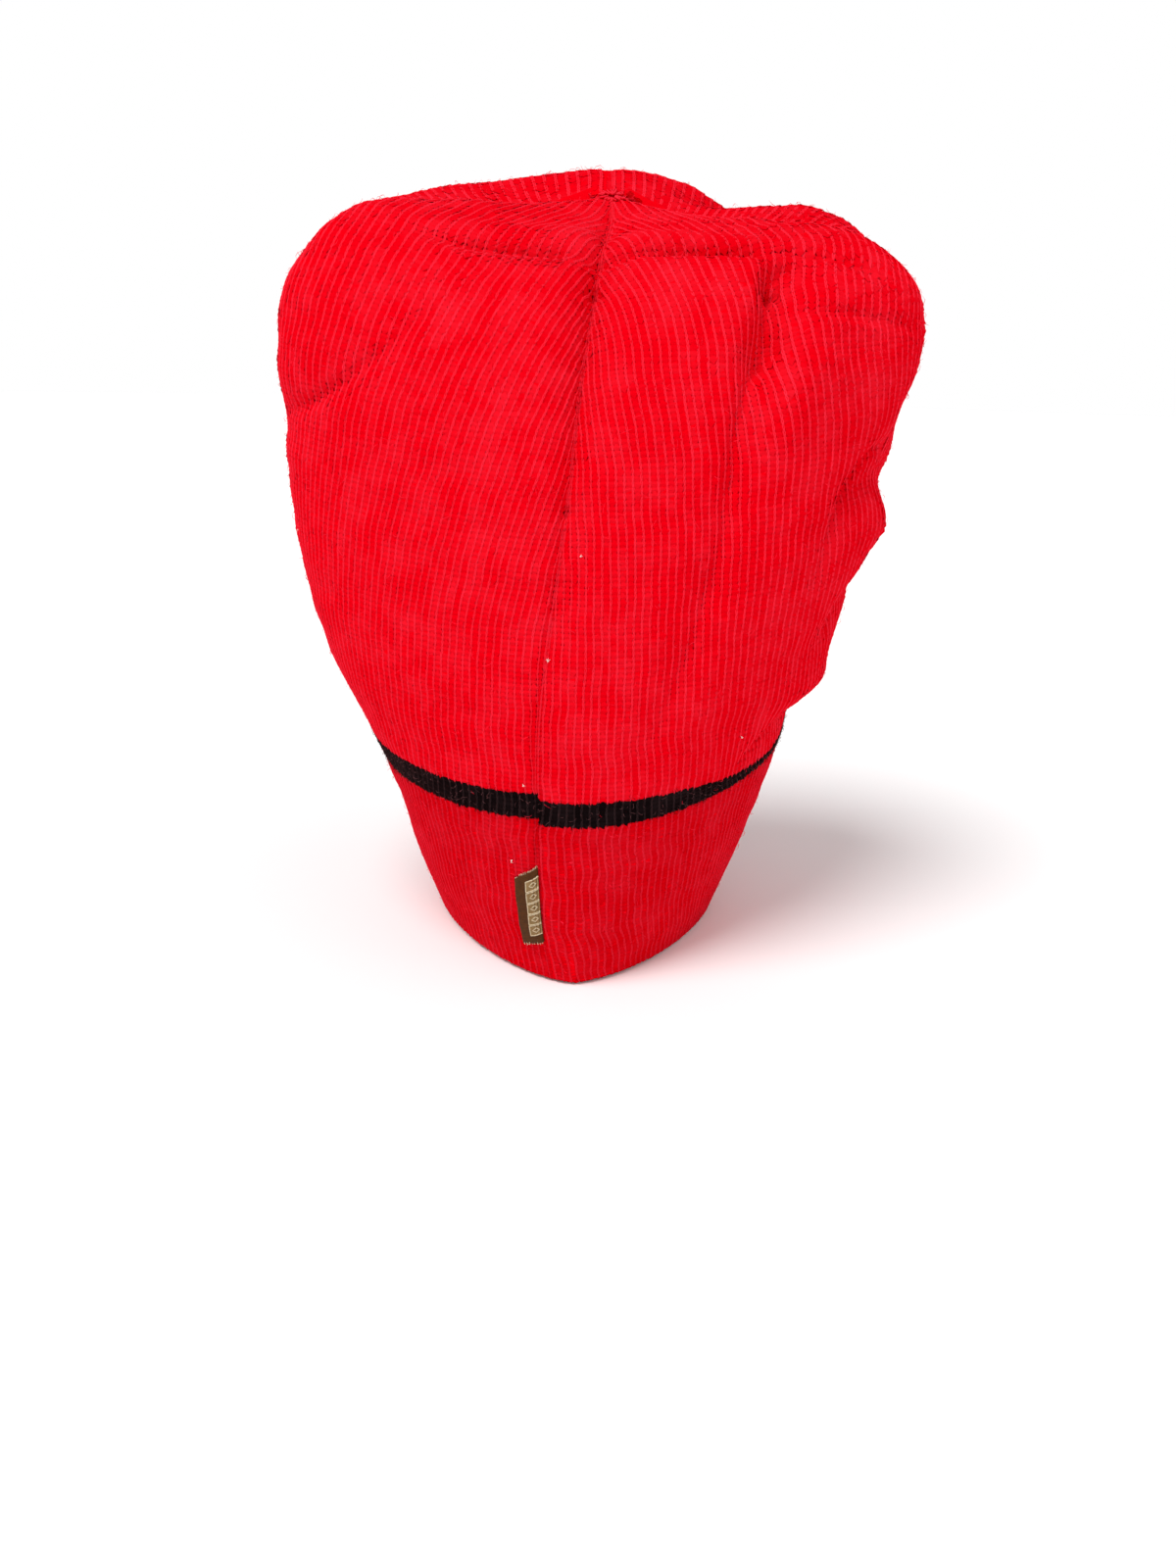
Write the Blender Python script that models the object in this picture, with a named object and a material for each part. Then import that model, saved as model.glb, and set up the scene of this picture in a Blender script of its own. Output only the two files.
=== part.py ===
"""A long knitted beanie, standing on its rim in the slack, full shape that it has in wear.

The hat is one knitted tube, closed at the top by four darts. Its yarn changes colour twice,
so it is built as three shells that meet course to course: the rim band, the stripe and the
crown. A folded ribbon tab is caught in the seam that runs down the front.

Units are metres, +Z is up and -Y is the front. The origin is under the middle of the hat,
on the surface that the rim stands on.
"""

import math
from collections import namedtuple

import bpy
import numpy as np

# Driving dimensions of the knit.
HAT_HEIGHT = 0.297
RIM_WIDTH = 0.118
RIM_DEPTH = 0.132
CROWN_WIDTH = 0.237
CROWN_DEPTH = 0.160
WALL = 0.0036
BAND_HEIGHT = 0.069
STRIPE_WIDTH = 0.0095
SEAM_JOG = 0.0024
JOG_REACH = 0.050
FOLD_WIDTH = 0.010
FOLD_DEPTH = 0.006

# Driving dimensions of the ribbon tab.
TAB_LENGTH = 0.033
TAB_WIDTH = 0.0095
TAB_THICKNESS = 0.0012
TAB_HEIGHT = 0.0155
TAB_SLANT = 0.0035

# The clearance that touching pieces keep, and how finely the shells are faceted.
PIECE_GAP = 0.0003
COLUMNS = 80
BAND_ROWS = 7
STRIPE_ROWS = 1
CROWN_ROWS = 26
TAB_ROWS = 8
TAB_COLUMNS = 3

# Folds die out below the first level, so that the rim stays even. Up to the second one the
# front rises steadily, so a height there has one level.
EVEN_RIM_LEVEL = 0.06
FRONT_TOP_LEVEL = 0.66

# Cross-sections from the rim, level 0, to the middle of the crown, level 1.
# flare: 0 is the rim's size and 1 the crown's. left, right, front and back: reach from the
# hat's axis, as shares of half that size. centre_x and centre_y: shift of the section's
# middle, as shares of half the crown's size. rise_*: height on each side, as shares of
# HAT_HEIGHT. front_round and back_round: 2 is an ellipse and less is more pointed.
Section = namedtuple(
    "Section",
    "level flare left right front back centre_x centre_y"
    " rise_left rise_right rise_front rise_back front_round back_round",
)
SECTIONS = [
    Section(0.00, 0.00, 1.00, 1.00, 1.02, 0.98, -0.046, 0.16, 0.000, 0.000, 0.000, 0.000, 1.50, 2.0),
    Section(0.09, 0.12, 1.04, 1.05, 1.08, 1.03, -0.046, 0.10, 0.104, 0.112, 0.091, 0.112, 1.62, 2.0),
    Section(0.17, 0.26, 1.00, 1.04, 1.09, 1.06, -0.046, 0.05, 0.190, 0.210, 0.175, 0.202, 1.75, 2.0),
    Section(0.24, 0.38, 1.01, 1.03, 1.09, 1.08, -0.046, 0.01, 0.270, 0.300, 0.249, 0.283, 1.85, 2.0),
    Section(0.34, 0.60, 1.07, 1.04, 1.09, 1.09, -0.038, 0.00, 0.402, 0.424, 0.367, 0.404, 1.90, 2.0),
    Section(0.46, 0.80, 1.06, 1.045, 1.04, 1.04, -0.025, 0.00, 0.545, 0.559, 0.512, 0.545, 1.90, 2.0),
    Section(0.57, 0.92, 1.03, 1.01, 0.95, 0.94, -0.013, 0.00, 0.673, 0.680, 0.640, 0.680, 1.95, 2.0),
    Section(0.66, 1.00, 1.00, 1.01, 0.83, 0.86, -0.008, 0.00, 0.774, 0.778, 0.747, 0.795, 2.10, 2.1),
    Section(0.74, 1.00, 0.96, 0.97, 0.68, 0.80, 0.000, 0.00, 0.866, 0.864, 0.835, 0.902, 2.20, 2.2),
    Section(0.82, 1.00, 0.78, 0.78, 0.52, 0.70, 0.008, 0.00, 0.938, 0.918, 0.886, 0.980, 2.20, 2.2),
    Section(0.90, 1.00, 0.52, 0.52, 0.32, 0.52, 0.017, 0.00, 0.945, 0.925, 0.899, 1.000, 2.10, 2.1),
    Section(0.96, 1.00, 0.24, 0.24, 0.14, 0.27, 0.025, 0.00, 0.916, 0.902, 0.889, 0.970, 2.00, 2.0),
    Section(1.00, 1.00, 0.00, 0.00, 0.00, 0.00, 0.025, 0.00, 0.889, 0.889, 0.889, 0.889, 2.00, 2.0),
]

# The front seam's bearing at some levels, in degrees round from the hat's right side.
SeamPoint = namedtuple("SeamPoint", "level bearing")
SEAM = [
    SeamPoint(0.00, 257.5),
    SeamPoint(0.08, 256.0),
    SeamPoint(0.16, 256.8),
    SeamPoint(0.25, 259.5),
    SeamPoint(0.43, 263.0),
    SeamPoint(0.60, 266.5),
    SeamPoint(0.73, 269.0),
    SeamPoint(1.00, 270.0),
]

# Folds and darts. Each runs along a smooth line through three places, given by bearing in
# degrees and level. width is a share of FOLD_WIDTH. deep_*: how far it sinks at its start,
# middle and end, as shares of FOLD_DEPTH, where a negative value stands proud.
Fold = namedtuple(
    "Fold",
    "start_bearing start_level mid_bearing mid_level end_bearing end_level"
    " width deep_start deep_mid deep_end",
)
FOLDS = [
    # The four darts that close the crown.
    Fold(270.0, 0.98, 269.0, 0.72, 264.0, 0.46, 0.8, 0.1, 1.2, 0.1),
    Fold(360.0, 0.98, 357.0, 0.84, 350.0, 0.72, 0.8, 0.1, 0.7, 0.1),
    Fold(90.0, 0.98, 90.0, 0.86, 92.0, 0.60, 0.9, 0.1, 0.3, 0.0),
    Fold(180.0, 0.98, 183.0, 0.84, 190.0, 0.72, 0.8, 0.1, 0.7, 0.1),
    # The hooked fold right of the front seam, and the roll beside it.
    Fold(307.0, 0.77, 298.5, 0.74, 296.0, 0.68, 0.7, 0.3, 0.9, 0.9),
    Fold(296.0, 0.68, 296.0, 0.60, 293.0, 0.46, 0.8, 0.9, 0.4, 0.2),
    Fold(293.0, 0.46, 290.0, 0.37, 286.0, 0.30, 0.8, 0.2, 0.3, 0.1),
    Fold(310.0, 0.74, 305.0, 0.67, 303.0, 0.58, 1.3, -0.3, -0.6, -0.1),
    # The slanting fold on the left lobe.
    Fold(188.0, 0.59, 215.0, 0.62, 238.0, 0.70, 0.9, 0.5, 0.5, 0.1),
    # The slack on the right side, and the roll that overhangs the stripe there.
    Fold(358.0, 0.53, 328.0, 0.545, 319.0, 0.44, 1.0, 1.2, 0.9, 0.1),
    Fold(358.0, 0.465, 345.0, 0.48, 334.0, 0.46, 1.0, -0.6, -0.6, 0.0),
    Fold(356.0, 0.42, 340.0, 0.39, 326.0, 0.36, 1.0, 0.9, 0.7, 0.1),
    Fold(354.0, 0.30, 332.0, 0.315, 312.0, 0.31, 0.9, -0.8, -0.6, 0.0),
    Fold(350.0, 0.27, 332.0, 0.265, 316.0, 0.25, 0.8, 0.9, 0.5, 0.0),
    # The notch and the rolls along the top.
    Fold(44.0, 0.92, 52.0, 0.84, 54.0, 0.74, 1.2, 0.7, 1.4, 0.1),
    Fold(24.0, 0.90, 27.0, 0.81, 26.0, 0.72, 1.6, -0.5, -1.1, -0.1),
    Fold(168.0, 0.87, 150.0, 0.89, 122.0, 0.93, 1.0, -0.2, -0.6, -0.2),
    Fold(150.0, 0.84, 138.0, 0.86, 112.0, 0.91, 1.0, 0.1, 0.7, 0.2),
    # Slack at the back, which the front hides.
    Fold(60.0, 0.70, 66.0, 0.56, 70.0, 0.36, 1.5, 0.2, 0.8, 0.0),
    Fold(118.0, 0.72, 114.0, 0.58, 112.0, 0.40, 1.5, 0.2, 0.7, 0.0),
    Fold(150.0, 0.58, 146.0, 0.46, 140.0, 0.32, 1.6, 0.1, 0.6, 0.0),
    Fold(20.0, 0.52, 28.0, 0.42, 40.0, 0.30, 1.4, 0.2, 0.7, 0.0),
]

RED_YARN = (0.83, 0.010, 0.030, 1.0)
BLACK_YARN = (0.014, 0.011, 0.012, 1.0)
BROWN_RIBBON = (0.110, 0.045, 0.020, 1.0)


def smooth_columns(knots, values, places):
    """Cubic interpolation of each column of values, from the knots to the places."""
    step = np.diff(knots)[:, None]
    slope = np.diff(values, axis=0) / step
    tangent = np.vstack([slope[:1], slope[1:], slope[-1:]])
    tangent[1:-1] = (slope[:-1] * step[1:] + slope[1:] * step[:-1]) / (step[:-1] + step[1:])
    i = np.clip(np.searchsorted(knots, places, side="right") - 1, 0, len(knots) - 2)
    h = step[i]
    u = ((places - knots[i]) / h[:, 0])[:, None]
    return (
        (2 * u**3 - 3 * u**2 + 1) * values[i]
        + (u**3 - 2 * u**2 + u) * h * tangent[i]
        + (3 * u**2 - 2 * u**3) * values[i + 1]
        + (u**3 - u**2) * h * tangent[i + 1]
    )


def seam_bearing(level):
    """Bearing of the front seam at each level, in radians."""
    table = np.array(SEAM)
    return np.radians(np.interp(level, table[:, 0], table[:, 1]))


def off_centre_hat(bearing, level):
    """Points of the hat without its folds, about the axis that the sections are given from."""
    table = np.array(SECTIONS)
    flat = smooth_columns(table[:, 0], table[:, 1:], level.ravel())
    s = Section(level, *(column.reshape(level.shape) for column in flat.T))
    half_width = (RIM_WIDTH + s.flare * (CROWN_WIDTH - RIM_WIDTH)) / 2
    half_depth = (RIM_DEPTH + s.flare * (CROWN_DEPTH - RIM_DEPTH)) / 2
    centre_y = s.centre_y * CROWN_DEPTH / 2
    across = np.cos(bearing)
    along = np.sin(bearing)
    power = 2 / np.where(along > 0, s.back_round, s.front_round)
    reach_x = half_width * np.where(across > 0, s.right, s.left)
    reach_y = np.where(along > 0, half_depth * s.back - centre_y, half_depth * s.front + centre_y)
    x = s.centre_x * CROWN_WIDTH / 2 + reach_x * np.sign(across) * np.abs(across) ** power
    y = centre_y + reach_y * np.sign(along) * np.abs(along) ** power
    side_rise = np.where(across > 0, s.rise_right, s.rise_left)
    end_rise = np.where(along > 0, s.rise_back, s.rise_front)
    z = HAT_HEIGHT * (side_rise * across**2 + end_rise * along**2)
    return np.stack([x, y, z], axis=-1)


def box_middle():
    """How far the hat's middle lies from the axis that the sections are given from."""
    turns = np.radians(np.arange(0, 360, 2))
    points = off_centre_hat(*np.meshgrid(turns, np.linspace(0, 1, 101)))
    middle = (points.min(axis=(0, 1)) + points.max(axis=(0, 1))) / 2
    return middle * np.array([1.0, 1.0, 0.0])


def smooth_hat(bearing, level):
    """Points of the hat without its folds. bearing and level are arrays of one shape."""
    return off_centre_hat(bearing, level) - MIDDLE


def directions(points_at, bearing, level):
    """Steps per radian round the hat and per level up it, and the outward normal."""
    nudge = 0.002
    low, high = np.clip(level - nudge, 0, 1), np.clip(level + nudge, 0, 1)
    around = (points_at(bearing + nudge, level) - points_at(bearing - nudge, level)) / (2 * nudge)
    up = (points_at(bearing, high) - points_at(bearing, low)) / (high - low)[..., None]
    normal = np.cross(around, up)
    length = np.linalg.norm(normal, axis=-1, keepdims=True)
    upright = np.array([0.0, 0.0, 1.0])
    return around, up, np.where(length > 1e-9, normal / np.maximum(length, 1e-9), upright)


def fold_line(fold, steps=24):
    """Bearings, levels and depths along a fold, on the quadratic through its three places."""
    t = np.linspace(0, 1, steps + 1)
    first = (1 - t) * (1 - 2 * t)
    middle = 4 * t * (1 - t)
    last = t * (2 * t - 1)

    def through(a, b, c):
        return first * a + middle * b + last * c

    bearing = np.radians(through(fold.start_bearing, fold.mid_bearing, fold.end_bearing))
    level = through(fold.start_level, fold.mid_level, fold.end_level)
    deep = np.interp(t, [0, 0.5, 1], [fold.deep_start, fold.deep_mid, fold.deep_end])
    return bearing, level, deep


def fold_sink(bearing, level):
    """How far the folds sink the surface at each place."""
    around, up, _ = directions(smooth_hat, bearing, level)
    around_scale = np.linalg.norm(around, axis=-1)[..., None]
    up_scale = np.linalg.norm(up, axis=-1)[..., None]
    sink = np.zeros(level.shape)
    for fold in FOLDS:
        line_bearing, line_level, deep = fold_line(fold)
        turn = bearing[..., None] - line_bearing
        turn = (turn + math.pi) % (2 * math.pi) - math.pi
        rise = level[..., None] - line_level
        distance = np.hypot(turn * around_scale, rise * up_scale)
        nearest = distance.argmin(axis=-1)
        gap = distance.min(axis=-1)
        sink += FOLD_DEPTH * deep[nearest] * np.exp(-((gap / (fold.width * FOLD_WIDTH)) ** 2))
    return sink * np.clip(level / EVEN_RIM_LEVEL, 0, 1)


def wall_pair(bearing, level):
    """Points of the outer face, and of the inner face one wall inside it."""
    _, _, inward = directions(smooth_hat, bearing, level)
    inward = -inward
    outer = smooth_hat(bearing, level) + inward * fold_sink(bearing, level)[..., None]
    level_inward = inward * np.array([1.0, 1.0, 0.0])
    level_inward /= np.maximum(np.linalg.norm(level_inward, axis=-1, keepdims=True), 1e-9)
    on_rim = (level <= 0)[..., None]
    return outer, outer + WALL * np.where(on_rim, level_inward, inward)


def hat_surface(bearing, level):
    """Points of the hat's outer face, with its folds."""
    return wall_pair(bearing, level)[0]


def front_level(height):
    """The level that stands this high up the front."""
    levels = np.linspace(0, FRONT_TOP_LEVEL, 331)
    heights = hat_surface(np.full(levels.shape, math.radians(270)), levels)[:, 2]
    return float(np.interp(height, heights, levels))


def jogged(bearing, level):
    """Levels lifted left of the seam, where the courses were sewn together out of step."""
    low = front_level(BAND_HEIGHT)
    high = front_level(BAND_HEIGHT + STRIPE_WIDTH)
    step = front_level(BAND_HEIGHT + SEAM_JOG) - low
    share = np.interp(level, [0, low, high, 2 * high], [0, 1, 1, 0])
    reach = JOG_REACH / (CROWN_WIDTH / 2)
    behind = seam_bearing(level) - bearing
    return level + step * share * np.where(behind >= 0, np.exp(-np.maximum(behind, 0) / reach), 0)


def mesh_object(name, vertices, faces, colour, roughness):
    """A named object with its own material."""
    mesh = bpy.data.meshes.new(name)
    mesh.from_pydata([tuple(v) for v in vertices], [], faces)
    mesh.validate()
    mesh.update()
    mesh.shade_smooth()
    material = bpy.data.materials.new(name)
    material.use_nodes = True
    shader = material.node_tree.nodes["Principled BSDF"]
    shader.inputs["Base Color"].default_value = colour
    shader.inputs["Roughness"].default_value = roughness
    shader.inputs["Metallic"].default_value = 0.0
    material.diffuse_color = colour
    mesh.materials.append(material)
    made = bpy.data.objects.new(name, mesh)
    bpy.context.scene.collection.objects.link(made)
    return made


def grid_faces(rows, columns, first, closed, flipped=False):
    """Quads of a grid of vertices numbered row by row from first."""
    faces = []
    for row in range(rows - 1):
        for column in range(columns if closed else columns - 1):
            beside = (column + 1) % columns
            a = first + row * columns + column
            b = first + row * columns + beside
            c = first + (row + 1) * columns + beside
            d = first + (row + 1) * columns + column
            faces.append((a, d, c, b) if flipped else (a, b, c, d))
    return faces


def course_shell(name, low_level, high_level, rows, colour):
    """A shell of the knit between two levels. It closes over the crown where high_level is 1."""
    closed_top = high_level >= 1
    bearings = np.linspace(0, 2 * math.pi, COLUMNS, endpoint=False)
    levels = np.linspace(low_level, high_level, rows + 1)
    if closed_top:
        levels = levels[:-1]
    bearing, level = np.meshgrid(bearings, levels)
    outer, inner = wall_pair(bearing, jogged(bearing, level))
    ring = len(levels)
    vertices = [*outer.reshape(-1, 3), *inner.reshape(-1, 3)]
    inside = ring * COLUMNS
    faces = grid_faces(ring, COLUMNS, 0, closed=True)
    faces += grid_faces(ring, COLUMNS, inside, closed=True, flipped=True)
    for column in range(COLUMNS):
        beside = (column + 1) % COLUMNS
        faces.append((column, inside + column, inside + beside, beside))
    last = (ring - 1) * COLUMNS
    if closed_top:
        tip, under = wall_pair(np.array([0.0]), np.array([1.0]))
        vertices += [tip[0], under[0]]
        for column in range(COLUMNS):
            beside = (column + 1) % COLUMNS
            faces.append((last + column, last + beside, 2 * inside))
            faces.append((inside + last + beside, inside + last + column, 2 * inside + 1))
    else:
        for column in range(COLUMNS):
            beside = (column + 1) % COLUMNS
            faces.append((last + beside, inside + last + beside, inside + last + column, last + column))
    return mesh_object(name, vertices, faces, colour, roughness=0.95)


def ribbon_tab():
    """The folded ribbon that is caught in the front seam and lies on the rim band."""
    across = np.linspace(0, 1, TAB_COLUMNS + 1)
    along = np.linspace(0, 1, TAB_ROWS + 1)
    share, rise = np.meshgrid(across, along)
    height = TAB_HEIGHT + rise * TAB_LENGTH - share * rise * TAB_SLANT
    level = np.vectorize(front_level)(height)
    around, _, _ = directions(hat_surface, seam_bearing(level), level)
    bearing = seam_bearing(level) - share * TAB_WIDTH / np.linalg.norm(around, axis=-1)
    _, _, normal = directions(hat_surface, bearing, level)
    under = hat_surface(bearing, level) + normal * PIECE_GAP
    top = under + normal * TAB_THICKNESS
    rows, columns = TAB_ROWS + 1, TAB_COLUMNS + 1
    size = rows * columns
    vertices = [*under.reshape(-1, 3), *top.reshape(-1, 3)]
    faces = grid_faces(rows, columns, 0, closed=False)
    faces += grid_faces(rows, columns, size, closed=False, flipped=True)
    edge = [(0, c) for c in range(columns)]
    edge += [(r, columns - 1) for r in range(1, rows)]
    edge += [(rows - 1, c) for c in range(columns - 2, -1, -1)]
    edge += [(r, 0) for r in range(rows - 2, 0, -1)]
    loop = [r * columns + c for r, c in edge]
    for a, b in zip(loop, loop[1:] + loop[:1]):
        faces.append((b, a, size + a, size + b))
    return mesh_object("label_tab", vertices, faces, BROWN_RIBBON, roughness=0.55)


MIDDLE = box_middle()


def build():
    for old in list(bpy.data.objects):
        bpy.data.objects.remove(old)
    half_gap = (front_level(BAND_HEIGHT + PIECE_GAP) - front_level(BAND_HEIGHT)) / 2
    low = front_level(BAND_HEIGHT)
    high = front_level(BAND_HEIGHT + STRIPE_WIDTH)
    course_shell("rim_band", 0.0, low - half_gap, BAND_ROWS, RED_YARN)
    course_shell("stripe", low + half_gap, high - half_gap, STRIPE_ROWS, BLACK_YARN)
    course_shell("crown", high + half_gap, 1.0, CROWN_ROWS, RED_YARN)
    ribbon_tab()


build()
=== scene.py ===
# %% [markdown]
# ## A long red beanie, stitch by stitch
#
# The hat is a single knitted tube with a front seam, a thin black stripe and a crown that is
# closed by four darts. A hat like this can be drawn with a bump pattern on a smooth shell, but
# its edge and its folds would then look like rubber. Here every stitch is a small shape of its
# own: the script works out the soft surface, lays out the wales and courses on it as a
# knitting machine would, and lets Geometry Nodes put a loop of yarn on each place.

# %% Load the frame
import math
from collections import namedtuple

import bpy
import numpy as np
from mathutils import Matrix, Vector


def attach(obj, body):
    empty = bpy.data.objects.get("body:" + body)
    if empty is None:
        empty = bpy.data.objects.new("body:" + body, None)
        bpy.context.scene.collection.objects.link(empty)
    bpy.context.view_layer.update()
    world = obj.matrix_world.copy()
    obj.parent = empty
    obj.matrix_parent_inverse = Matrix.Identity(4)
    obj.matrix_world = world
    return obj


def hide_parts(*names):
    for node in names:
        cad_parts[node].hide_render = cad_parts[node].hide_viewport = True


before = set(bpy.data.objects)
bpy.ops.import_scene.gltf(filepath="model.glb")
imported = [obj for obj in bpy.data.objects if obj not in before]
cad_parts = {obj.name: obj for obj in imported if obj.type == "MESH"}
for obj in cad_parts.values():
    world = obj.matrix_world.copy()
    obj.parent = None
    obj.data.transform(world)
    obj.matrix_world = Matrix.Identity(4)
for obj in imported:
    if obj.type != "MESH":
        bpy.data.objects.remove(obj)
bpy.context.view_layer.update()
MM = 0.001
print("frame nodes:", sorted(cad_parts))

# %% [markdown]
# ### Sizes of the hat and of its knit
#
# The shell's sizes are those of the solid model. The knit's own sizes come from the real
# thing: a wale is one column of stitches, and a course is one row. On this hat a wale is a
# little under 3 mm wide over most of the front and a course is 1.9 mm high.

# %% Driving sizes
HAT_HEIGHT = 297 * MM
RIM_WIDTH = 118 * MM
RIM_DEPTH = 132 * MM
CROWN_WIDTH = 237 * MM
CROWN_DEPTH = 160 * MM
WALL = 3.6 * MM
BAND_HEIGHT = 69 * MM
STRIPE_WIDTH = 9.5 * MM
SEAM_JOG = 2.4 * MM
JOG_REACH = 50 * MM
FOLD_WIDTH = 10 * MM
FOLD_DEPTH = 6 * MM

WALES = 176
COURSE_HEIGHT = 1.9 * MM
DART_LEVEL = 0.70
YARN_RELIEF = 0.50 * MM
BACKING_DEPTH = 0.12 * MM
print("hat height in metres, and wales:", HAT_HEIGHT, WALES)

# %% [markdown]
# ### The soft surface
#
# Cloth is hard to draw as a box or a ball, but easy as a stack of rings. Each row of the first
# table is one ring, from the rim at level 0 to the crown's middle at level 1. Its lengths are
# shares of the sizes above. The second table lists the folds: each is a short curve on the
# surface along which the cloth sinks, or stands proud where its depth is negative.

# %% Tables of rings and folds
Section = namedtuple(
    "Section",
    "level flare left right front back centre_x centre_y"
    " rise_left rise_right rise_front rise_back front_round back_round",
)
SECTIONS = [
    (0.00, 0.00, 1.00, 1.00, 1.02, 0.98, -0.046, 0.16, 0.000, 0.000, 0.000, 0.000, 1.50, 2.0),
    (0.09, 0.12, 1.04, 1.05, 1.08, 1.03, -0.046, 0.10, 0.104, 0.112, 0.091, 0.112, 1.62, 2.0),
    (0.17, 0.26, 1.00, 1.04, 1.09, 1.06, -0.046, 0.05, 0.190, 0.210, 0.175, 0.202, 1.75, 2.0),
    (0.24, 0.38, 1.01, 1.03, 1.09, 1.08, -0.046, 0.01, 0.270, 0.300, 0.249, 0.283, 1.85, 2.0),
    (0.34, 0.60, 1.07, 1.04, 1.09, 1.09, -0.038, 0.00, 0.402, 0.424, 0.367, 0.404, 1.90, 2.0),
    (0.46, 0.80, 1.06, 1.045, 1.04, 1.04, -0.025, 0.00, 0.545, 0.559, 0.512, 0.545, 1.90, 2.0),
    (0.57, 0.92, 1.03, 1.01, 0.95, 0.94, -0.013, 0.00, 0.673, 0.680, 0.640, 0.680, 1.95, 2.0),
    (0.66, 1.00, 1.00, 1.01, 0.83, 0.86, -0.008, 0.00, 0.774, 0.778, 0.747, 0.795, 2.10, 2.1),
    (0.74, 1.00, 0.96, 0.97, 0.68, 0.80, 0.000, 0.00, 0.866, 0.864, 0.835, 0.902, 2.20, 2.2),
    (0.82, 1.00, 0.78, 0.78, 0.52, 0.70, 0.008, 0.00, 0.938, 0.918, 0.886, 0.980, 2.20, 2.2),
    (0.90, 1.00, 0.52, 0.52, 0.32, 0.52, 0.017, 0.00, 0.948, 0.930, 0.913, 1.000, 2.10, 2.1),
    (0.96, 1.00, 0.24, 0.24, 0.14, 0.27, 0.025, 0.08, 0.948, 0.938, 0.930, 0.988, 2.00, 2.0),
    (1.00, 1.00, 0.00, 0.00, 0.00, 0.00, 0.025, 0.12, 0.955, 0.955, 0.955, 0.955, 2.00, 2.0),
]

Fold = namedtuple(
    "Fold",
    "start_bearing start_level mid_bearing mid_level end_bearing end_level"
    " width deep_start deep_mid deep_end",
)
FOLDS = [
    # The four darts that close the crown.
    (270, 0.98, 269, 0.72, 264, 0.46, 0.8, 0.1, 1.2, 0.1),
    (360, 0.98, 357, 0.84, 350, 0.72, 0.8, 0.1, 0.7, 0.1),
    (90, 0.98, 90, 0.86, 92, 0.60, 0.9, 0, 0.1, 0),
    (180, 0.98, 183, 0.84, 190, 0.72, 0.8, 0.1, 0.7, 0.1),
    # The hooked fold right of the front seam, and the roll beside it.
    (307, 0.77, 298.5, 0.74, 296, 0.68, 0.7, 0.3, 0.9, 0.9),
    (296, 0.68, 296, 0.60, 293, 0.46, 0.8, 0.9, 0.4, 0.2),
    (293, 0.46, 290, 0.37, 286, 0.30, 0.8, 0.2, 0.3, 0.1),
    (310, 0.74, 305, 0.67, 303, 0.58, 1.3, -0.3, -0.6, -0.1),
    # The slanting fold on the left lobe.
    (188, 0.59, 215, 0.62, 238, 0.70, 0.9, 0.25, 0.3, 0.1),
    # The slack on the right side, and the roll that overhangs the stripe there.
    (358, 0.51, 330, 0.535, 319, 0.44, 1, 0.75, 0.8, 0.1),
    (360, 0.60, 350, 0.60, 338, 0.60, 1.3, 0.5, 0.5, 0.1),
    (358, 0.465, 345, 0.48, 334, 0.46, 1, -0.4, -0.4, 0),
    (356, 0.42, 340, 0.39, 326, 0.36, 1, 0.9, 0.7, 0.1),
    (354, 0.30, 332, 0.315, 312, 0.31, 0.9, -0.8, -0.6, 0),
    (350, 0.27, 332, 0.265, 316, 0.25, 0.8, 0.9, 0.5, 0),
    # The notch and the rolls along the top.
    (44, 0.92, 52, 0.84, 54, 0.74, 1.2, 0.7, 1.4, 0.1),
    (24, 0.90, 27, 0.81, 26, 0.72, 1.6, -0.5, -1.1, -0.1),
    (168, 0.87, 150, 0.89, 122, 0.93, 1, -0.2, -0.6, -0.2),
    (150, 0.84, 138, 0.86, 112, 0.91, 1, 0.1, 0.7, 0.2),
    # Slack at the back.
    (60, 0.70, 66, 0.56, 70, 0.36, 1.5, 0.2, 0.8, 0),
    (118, 0.72, 114, 0.58, 112, 0.40, 1.5, 0.2, 0.7, 0),
    (150, 0.58, 146, 0.46, 140, 0.32, 1.6, 0.1, 0.6, 0),
    (20, 0.52, 28, 0.42, 40, 0.30, 1.4, 0.2, 0.7, 0),
]
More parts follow.
